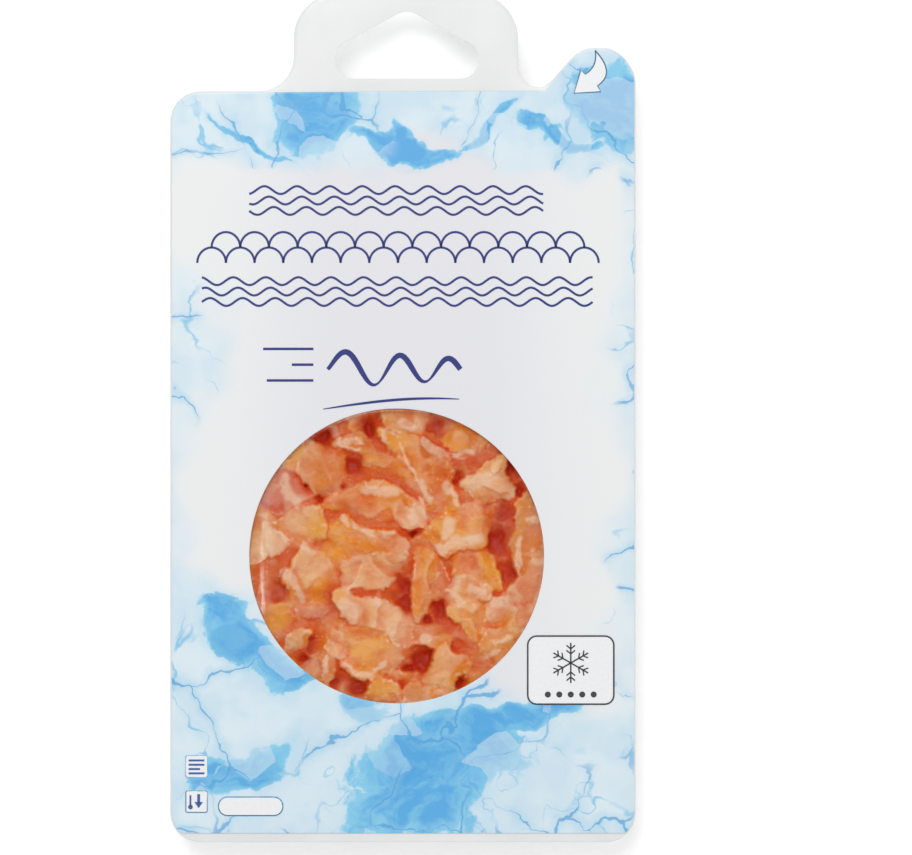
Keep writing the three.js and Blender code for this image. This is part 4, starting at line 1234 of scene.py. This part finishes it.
def film_piece(material):
    """The printed sheet as one ring round the window, with bevelled edges."""
    outline = film_outline()
    angles = angles_of(outline, every=1.0)
    circle = WINDOW + WINDOW_RADIUS * np.c_[np.cos(angles), np.sin(angles)]
    inner = circle + FILM_BEVEL * (circle - WINDOW) / WINDOW_RADIUS
    outer = hit(film_outline(FILM_EDGE + FILM_BEVEL), angles)
    shares = [0, 0.003, *np.linspace(0.02, 0.98, 26), 0.997, 1]
    flat = [circle] + [inner + t * (outer - inner) for t in shares] + [hit(outline, angles)]
    drop = [FILM_BEVEL_DROP] + [0] * len(shares) + [FILM_BEVEL_DROP]
    upper = [np.c_[r, film_height(r) - d] for r, d in zip(flat, drop)]
    lower = [np.c_[r, film_height(r) - FILM + d] for r, d in zip(flat[::-1], drop)]
    rings = upper + lower
    faces = flipped(radial_faces(len(rings), len(angles), wrap=True))
    return mesh_object("printed_film", np.concatenate(rings), faces, material)


CLEAR_FILM, CLEAR_DROP = 0.1, 0.1  # thickness, and how far it lies below the print's face
CREASE_X, CREASE_Y, CREASE_REACH, CREASE_LEAN = -38.2, -42.0, 20.0, 0.03
CREASE_HEIGHT, CREASE_WIDTH = 0.24, 1.5
RIM_RISE, RIM_RISE_WIDTH = 0.22, 1.2  # the film stands up a little inside the print
RIPPLES = [(0.05, 9.0, 22), (0.02, 3.5, 23)]


def clear_material():
    """Clear film that lets all light through and mirrors what falls on it."""
    s = Shader("clear_film")
    clear = s.put("BsdfTransparent", Color=(0.985, 0.985, 0.985, 1))
    gloss = s.put("BsdfGlossy", Color=(1, 1, 1, 1), Roughness=0.1)
    both = s.put("MixShader", i0=s.times(s.put("Fresnel", IOR=1.45), 0.5), i1=clear, i2=gloss)
    s.tree.links.new(both, s.output.inputs["Surface"])
    return s.material


def window_height(points):
    """The clear film's upper face, with a raised rim, a pulled crease and ripples."""
    p = np.c_[points, np.zeros(len(points))]
    line = CREASE_X + CREASE_LEAN * (CREASE_Y - points[:, 1]) + 0.5 * noise(p, 11.0, 21)
    away = (points[:, 0] - line) / CREASE_WIDTH
    fade = np.clip(1 - ((points[:, 1] - CREASE_Y) / CREASE_REACH) ** 6, 0, 1)
    crease = CREASE_HEIGHT * fade * np.clip(1 + np.where(away < 0, away, -2 * away), 0, 1)
    reach = np.maximum(WINDOW_RADIUS - np.linalg.norm(points - WINDOW, axis=1), 0)
    inside = smooth_step(0, 3, reach)
    rise = RIM_RISE * (1 - np.exp(-reach / RIM_RISE_WIDTH))
    return film_height(points) - CLEAR_DROP + rise + inside * (crease + layered(p, RIPPLES))


def window_piece(material):
    angles = np.linspace(0, 2 * math.pi, 200, endpoint=False)
    radii = (WINDOW_RADIUS + 0.1) * np.linspace(0, 1, 91)[1:]
    flat = [WINDOW + r * np.c_[np.cos(angles), np.sin(angles)] for r in radii]
    upper = [np.c_[r, window_height(r)] for r in flat]
    lower = [p - (0, 0, CLEAR_FILM) for p in upper[::-1]]
    centre = np.r_[WINDOW, window_height(WINDOW[None])]
    points, faces = closed_skin(upper + lower, centre, centre - (0, 0, CLEAR_FILM))
    return mesh_object("window_film_clear", points, flipped(faces), material)


# ---------------------------------------------------------------- printed shapes

INK_THICKNESS, INK_LIFT = 0.05, 0.01


def plain_ink(name, colour):
    """Printing ink with the slight unevenness of a printed solid."""
    s = Shader(name)
    grain = s.noise(s.place(), 0.8, 3)
    shade = s.mix(s.ramp(grain, 0.3, 0.7), linear(*colour), linear(*(0.985 * np.array(colour))))
    return s.surface(Base_Color=shade, Roughness=0.35)


class Ink:
    """Collects flat printed shapes of one colour and makes one thin mesh piece of them."""

    def __init__(self, level=0):
        self.points, self.faces, self.level = [], [], level

    def plate(self, outline, top_faces):
        """A thin plate on the film: top_faces are triangles or quads of outline points."""
        outline = np.asarray(outline, float)
        base, count = len(self.points), len(outline)
        low = film_height(outline) + INK_LIFT + self.level * INK_THICKNESS
        self.points += [(*p, z + INK_THICKNESS) for p, z in zip(outline, low)]
        self.points += [(*p, z) for p, z in zip(outline, low)]
        for face in top_faces:
            self.faces.append(tuple(base + i for i in face))
            self.faces.append(tuple(base + count + i for i in face[::-1]))
        edges = {e: None for face in top_faces for e in zip(face, face[1:] + face[:1])}
        for a, b in edges:
            if (b, a) not in edges:
                self.faces.append((base + b, base + a, base + count + a, base + count + b))

    def area(self, outline):
        """A filled shape from its outline."""
        flat = [Vector((*p, 0)) for p in outline]
        faces = []
        for a, b, c in tessellate_polygon([flat]):
            turn = (flat[b] - flat[a]).cross(flat[c] - flat[a]).z
            faces.append((a, b, c) if turn > 0 else (a, c, b))
        self.plate(outline, faces)

    def stroke(self, path, width, closed=False):
        """A line along a path, as wide as width, one number or one for each point."""
        path = np.asarray(path, float)
        if closed:
            along = np.roll(path, -1, axis=0) - np.roll(path, 1, axis=0)
        else:
            along = np.gradient(path, axis=0)
        along /= np.linalg.norm(along, axis=1, keepdims=True)
        side = np.c_[-along[:, 1], along[:, 0]] * np.reshape(width, (-1, 1)) / 2
        count = len(path)
        faces = []
        for i in range(count if closed else count - 1):
            j = (i + 1) % count
            faces.append((i, count + i, count + j, j))
        self.plate(np.concatenate([path + side, path - side]), faces)

    def made(self, name, material):
        return mesh_object(name, self.points, self.faces, material, smooth=False)


def dot(x, y, radius):
    return arc(x, y, radius, 0, 360, 16)[:-1]


def rounded_box(x, y, width, height, radius):
    a, b = width / 2 - radius, height / 2 - radius
    return chain(arc(x + a, y - b, radius, -90, 0, 6), arc(x + a, y + b, radius, 0, 90, 6),
                 arc(x - a, y + b, radius, 90, 180, 6), arc(x - a, y - b, radius, 180, 270, 6))


# Rows of ornament on the white field: x and y of the middle, and width.
ORNAMENT_ROWS = [(-1.9, 60.6, 82), (-1.4, 47.5, 112), (-1.6, 35.2, 109)]
ORNAMENT_HEIGHT, ORNAMENT_STROKE = 8.6, 0.62
WAVE_LINES, WAVE_RISE, WAVE_SPACING, WAVE_SHIFT = 3, 1.1, 2.9, 0.9


def waves(ink, x, y, width, periods):
    """Parallel wave lines across a width."""
    t = np.linspace(-0.5, 0.5, periods * 16 + 1)
    for k in range(WAVE_LINES):
        level = y + (k - (WAVE_LINES - 1) / 2) * WAVE_SPACING
        swing = np.sin(2 * math.pi * periods * t + WAVE_SHIFT * k)
        ink.stroke(np.c_[x + width * t, level + WAVE_RISE * swing], ORNAMENT_STROKE)


def scallops(ink, x, y, width, count, rows):
    """Rows of arches, each row set half an arch aside from the one below, like scales."""
    step, rise = width / count, ORNAMENT_HEIGHT / rows
    a = np.radians(np.linspace(0, 180, 15))
    for row in range(rows):
        aside = row % 2
        level = y + (row - rows / 2) * rise
        for k in range(count - aside):
            centre = x - width / 2 + (k + 0.5 + aside / 2) * step
            path = np.c_[centre + step / 2 * np.cos(a), level + rise * np.sin(a)]
            ink.stroke(path, ORNAMENT_STROKE)


def snowflake(ink, x, y, size, width):
    """Six arms with two pairs of twigs each."""
    for arm in range(6):
        turn = math.radians(60 * arm + 30)
        out = np.array([math.cos(turn), math.sin(turn)])
        ink.stroke([(x, y), (x, y) + size * out], width)
        for side in (-1, 1):
            tilt = turn + side * math.radians(50)
            twig = np.array([math.cos(tilt), math.sin(tilt)])
            for reach in (0.45, 0.7):
                root = (x, y) + reach * size * out
                ink.stroke([root, root + 0.28 * size * twig], width * 0.9)


def ornaments(navy):
    """Three rows of sea ornament across the white field."""
    upper, middle, lower = ORNAMENT_ROWS
    waves(navy, *upper, 9)
    scallops(navy, *middle, 14, 2)
    waves(navy, *lower, 12)


def brushed_wave(navy):
    """A brushed wave with a long stroke below it, and three short lines beside it."""
    t = np.linspace(0, 1, 60)
    phase = 2.5 * math.pi * t ** 1.15
    crest = np.c_[-21 + 37 * t, 13.5 + 5.2 * np.sin(2 * phase) * (1 - 0.45 * t)]
    navy.stroke(crest, 0.5 + 1.1 * np.abs(np.sin(phase + 0.5)))
    sweep = np.c_[-22.3 + 38 * t, 2.4 + 3.0 * np.sin(0.62 * math.pi * t)]
    navy.stroke(sweep, 0.2 + 0.55 * np.sin(math.pi * t) ** 0.7)
    for row, width in enumerate((14, 6, 13)):
        y = 19.2 - 4.4 * row
        navy.stroke([(-25 - width, y), (-25, y)], 0.7)


def plain_label(white, dark):
    """The label at the lower right: a frame, a snowflake and a row of dots."""
    x, y = 46.8, -70.4
    edge = rounded_box(x, y, 24, 19, 2.5)
    white.area(edge)
    dark.stroke(edge, 0.45, closed=True)
    snowflake(dark, x, y + 2, 5.6, 0.42)
    for k in range(-2, 3):
        dark.area(dot(x + 3.2 * k, y - 6.8, 0.85))


def blank_fields(white, blue, marks):
    """Fields at the lower left: one with bars, one with a thermometer and arrow, one bare."""
    for edge, width in (
        (rounded_box(-57.6, -97.3, 6, 6, 0.5), 0.3),
        (rounded_box(-57.6, -107.1, 6, 6, 0.5), 0.3),
        (rounded_box(-42.5, -108.4, 18, 5.2, 2.5), 0.35),
    ):
        white.area(edge)
        blue.stroke(edge, width, closed=True)
    for k, width in enumerate((4.4, 4.4, 3.2, 4.4)):
        y = -95.6 - 1.2 * k
        marks.stroke([(-59.8, y), (-59.8 + width, y)], 0.55)
    marks.stroke([(-59.3, -105.3), (-59.3, -108.2)], 0.5)
    marks.area(dot(-59.3, -108.6, 0.65))
    marks.stroke([(-57.0, -105.0), (-57.0, -107.6)], 0.8)
    marks.area([(-58.2, -107.2), (-57.0, -108.9), (-55.8, -107.2)])


def peel_arrow(white, blue):
    """The arrow that shows where to peel."""
    outer = bezier((53.6, 102.5), (57.1, 98.8), (58.3, 95.2), (54.3, 92.6))
    inner = bezier((50.9, 95.9), (53.6, 97.6), (54.0, 100.2), (53.6, 102.5))
    arrow = chain(outer, (55.2, 90.9), (47.7, 90.5), (49.5, 96.9), inner)[::-1]
    white.area(arrow)
    blue.stroke(arrow, 0.4, closed=True)


def printed_shapes():
    navy, dark, white, blue, marks = Ink(), Ink(1), Ink(), Ink(), Ink(1)
    ornaments(navy)
    brushed_wave(navy)
    plain_label(white, dark)
    blank_fields(white, blue, marks)
    peel_arrow(white, blue)
    for name, ink, colour in (
        ("print_navy", navy, (44, 54, 130)),
        ("print_dark", dark, (72, 68, 74)),
        ("print_white", white, (240, 241, 243)),
        ("print_blue", blue, (104, 176, 222)),
        ("print_marks", marks, (58, 96, 168)),
    ):
        shapes = ink.made(name, plain_ink(name, colour))
        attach(shapes, "root")


# ---------------------------------------------------------------- salmon core

CORE_TONE = (206, 56, 22)


def core_piece(material):
    """The mass of trimmings round and below the well, which the film and tray hide."""
    top, floor = DEPTH - HEADROOM, DEPTH - WELL_DEPTH
    low, radius = SHEET + FLOOR_FILLET, FLOOR_FILLET - GAP
    angles = angles_of(mouth_outline(0), every=3)
    circle = np.c_[np.cos(angles), np.sin(angles)]
    rise = (top - low) / (DEPTH - low)
    rim = hit(mouth_outline(DRAFT * (1 - rise) + GAP), angles)
    edge = WINDOW + WELL_RADIUS * circle
    rings = floor_fillet(radius, angles, 5)
    for t in (0, 0.25, 0.5, 0.75, 1):
        rings.append(at_height(rim + t * (edge - rim), top))
    for r in (WELL_RADIUS - 1, WELL_RADIUS * 0.75, WELL_RADIUS * 0.5, WELL_RADIUS * 0.25):
        rings.append(at_height(WINDOW + r * circle, floor))
    points, faces = closed_skin(rings, (*WINDOW, low - radius), (*WINDOW, floor))
    points[:, 2] += 0.3 * noise(points, 6.0, 11) * (points[:, 2] > 6)
    piece = mesh_object("salmon_core", points, faces, material)
    mark(piece, np.tile(linear(*CORE_TONE), (len(points), 1)), points, np.ones(len(points)))
    return piece


# ---------------------------------------------------------------- camera, light and floor

PHOTO_WIDTH, PHOTO_HEIGHT = 912, 855
PHOTO_SCALE = 130 / 466  # millimetres to a pixel of the picture
PACK_MIDDLE_X, PACK_MIDDLE_Y = 403.0, 417.75  # where the pack's origin stands in it
CAMERA_HEIGHT = 1.4
SENSOR = 36.0

# Round lamps that face the pack: name, place and size in metres, and power in watts.
LIGHTS = [
    ("key", (-0.3, 0.92, 2.0), 1.1, 17),
    ("fill", (1.1, -0.4, 1.9), 1.4, 5.5),
    ("glint", (-0.42, -0.15, 1.15), 0.14, 0.45),
]
WORLD_STRENGTH, FLOOR_GLOW = 0.6, 0.14
FLOOR_HALF = 3000


def camera():
    """Looks straight down on the pack, which fills the picture as in the photo."""
    data = bpy.data.cameras.new("camera")
    data.sensor_width = SENSOR
    data.lens = SENSOR * (CAMERA_HEIGHT - (DEPTH + FILM) * MM) / (PHOTO_WIDTH * PHOTO_SCALE * MM)
    data.clip_start, data.clip_end = 0.05, 20
    eye = bpy.data.objects.new("camera", data)
    eye.location = (
        (PHOTO_WIDTH / 2 - PACK_MIDDLE_X) * PHOTO_SCALE * MM,
        (PACK_MIDDLE_Y - PHOTO_HEIGHT / 2) * PHOTO_SCALE * MM,
        CAMERA_HEIGHT,
    )
    bpy.context.scene.collection.objects.link(eye)
    bpy.context.scene.camera = eye


def area_light(name, place, size, power):
    data = bpy.data.lights.new(name, "AREA")
    data.shape, data.size, data.energy = "DISK", size, power
    lamp = bpy.data.objects.new(name, data)
    x, y, z = place
    lamp.location = place
    lamp.rotation_euler = (0, math.atan2(math.hypot(x, y), z), math.atan2(y, x))
    bpy.context.scene.collection.objects.link(lamp)


def studio():
    """White surroundings, three lamps and a floor that glows a little."""
    world = bpy.data.worlds.new("studio")
    world.use_nodes = True
    background = world.node_tree.nodes["Background"]
    background.inputs["Color"].default_value = (1, 1, 1, 1)
    background.inputs["Strength"].default_value = WORLD_STRENGTH
    world.cycles_visibility.glossy = False
    bpy.context.scene.world = world
    for light in LIGHTS:
        area_light(*light)
    bpy.context.scene.view_settings.view_transform = "Standard"

    white = (1.0, 1.0, 1.0, 1)
    s = Shader("floor_white")
    s.surface(Base_Color=white, Roughness=0.7, Specular_IOR_Level=0.1,
              Emission_Color=white, Emission_Strength=FLOOR_GLOW)
    points = FLOOR_HALF * np.array([(-1, -1, 0), (1, -1, 0), (1, 1, 0), (-1, 1, 0)])
    mesh_object("floor", points, [(0, 1, 2, 3)], s.material, smooth=False)


# ---------------------------------------------------------------- assembly

camera()
studio()

flesh = salmon_material()
for piece in (trimmings_piece(flesh), core_piece(flesh)):
    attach(piece, "root")
    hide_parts("salmon")

shell = tray_piece(tray_material())
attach(shell, "root")
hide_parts("tray")

lid = film_piece(print_material())
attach(lid, "root")
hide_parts("lid_film")

printed_shapes()

window = window_piece(clear_material())
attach(window, "root")
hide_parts("window_film")
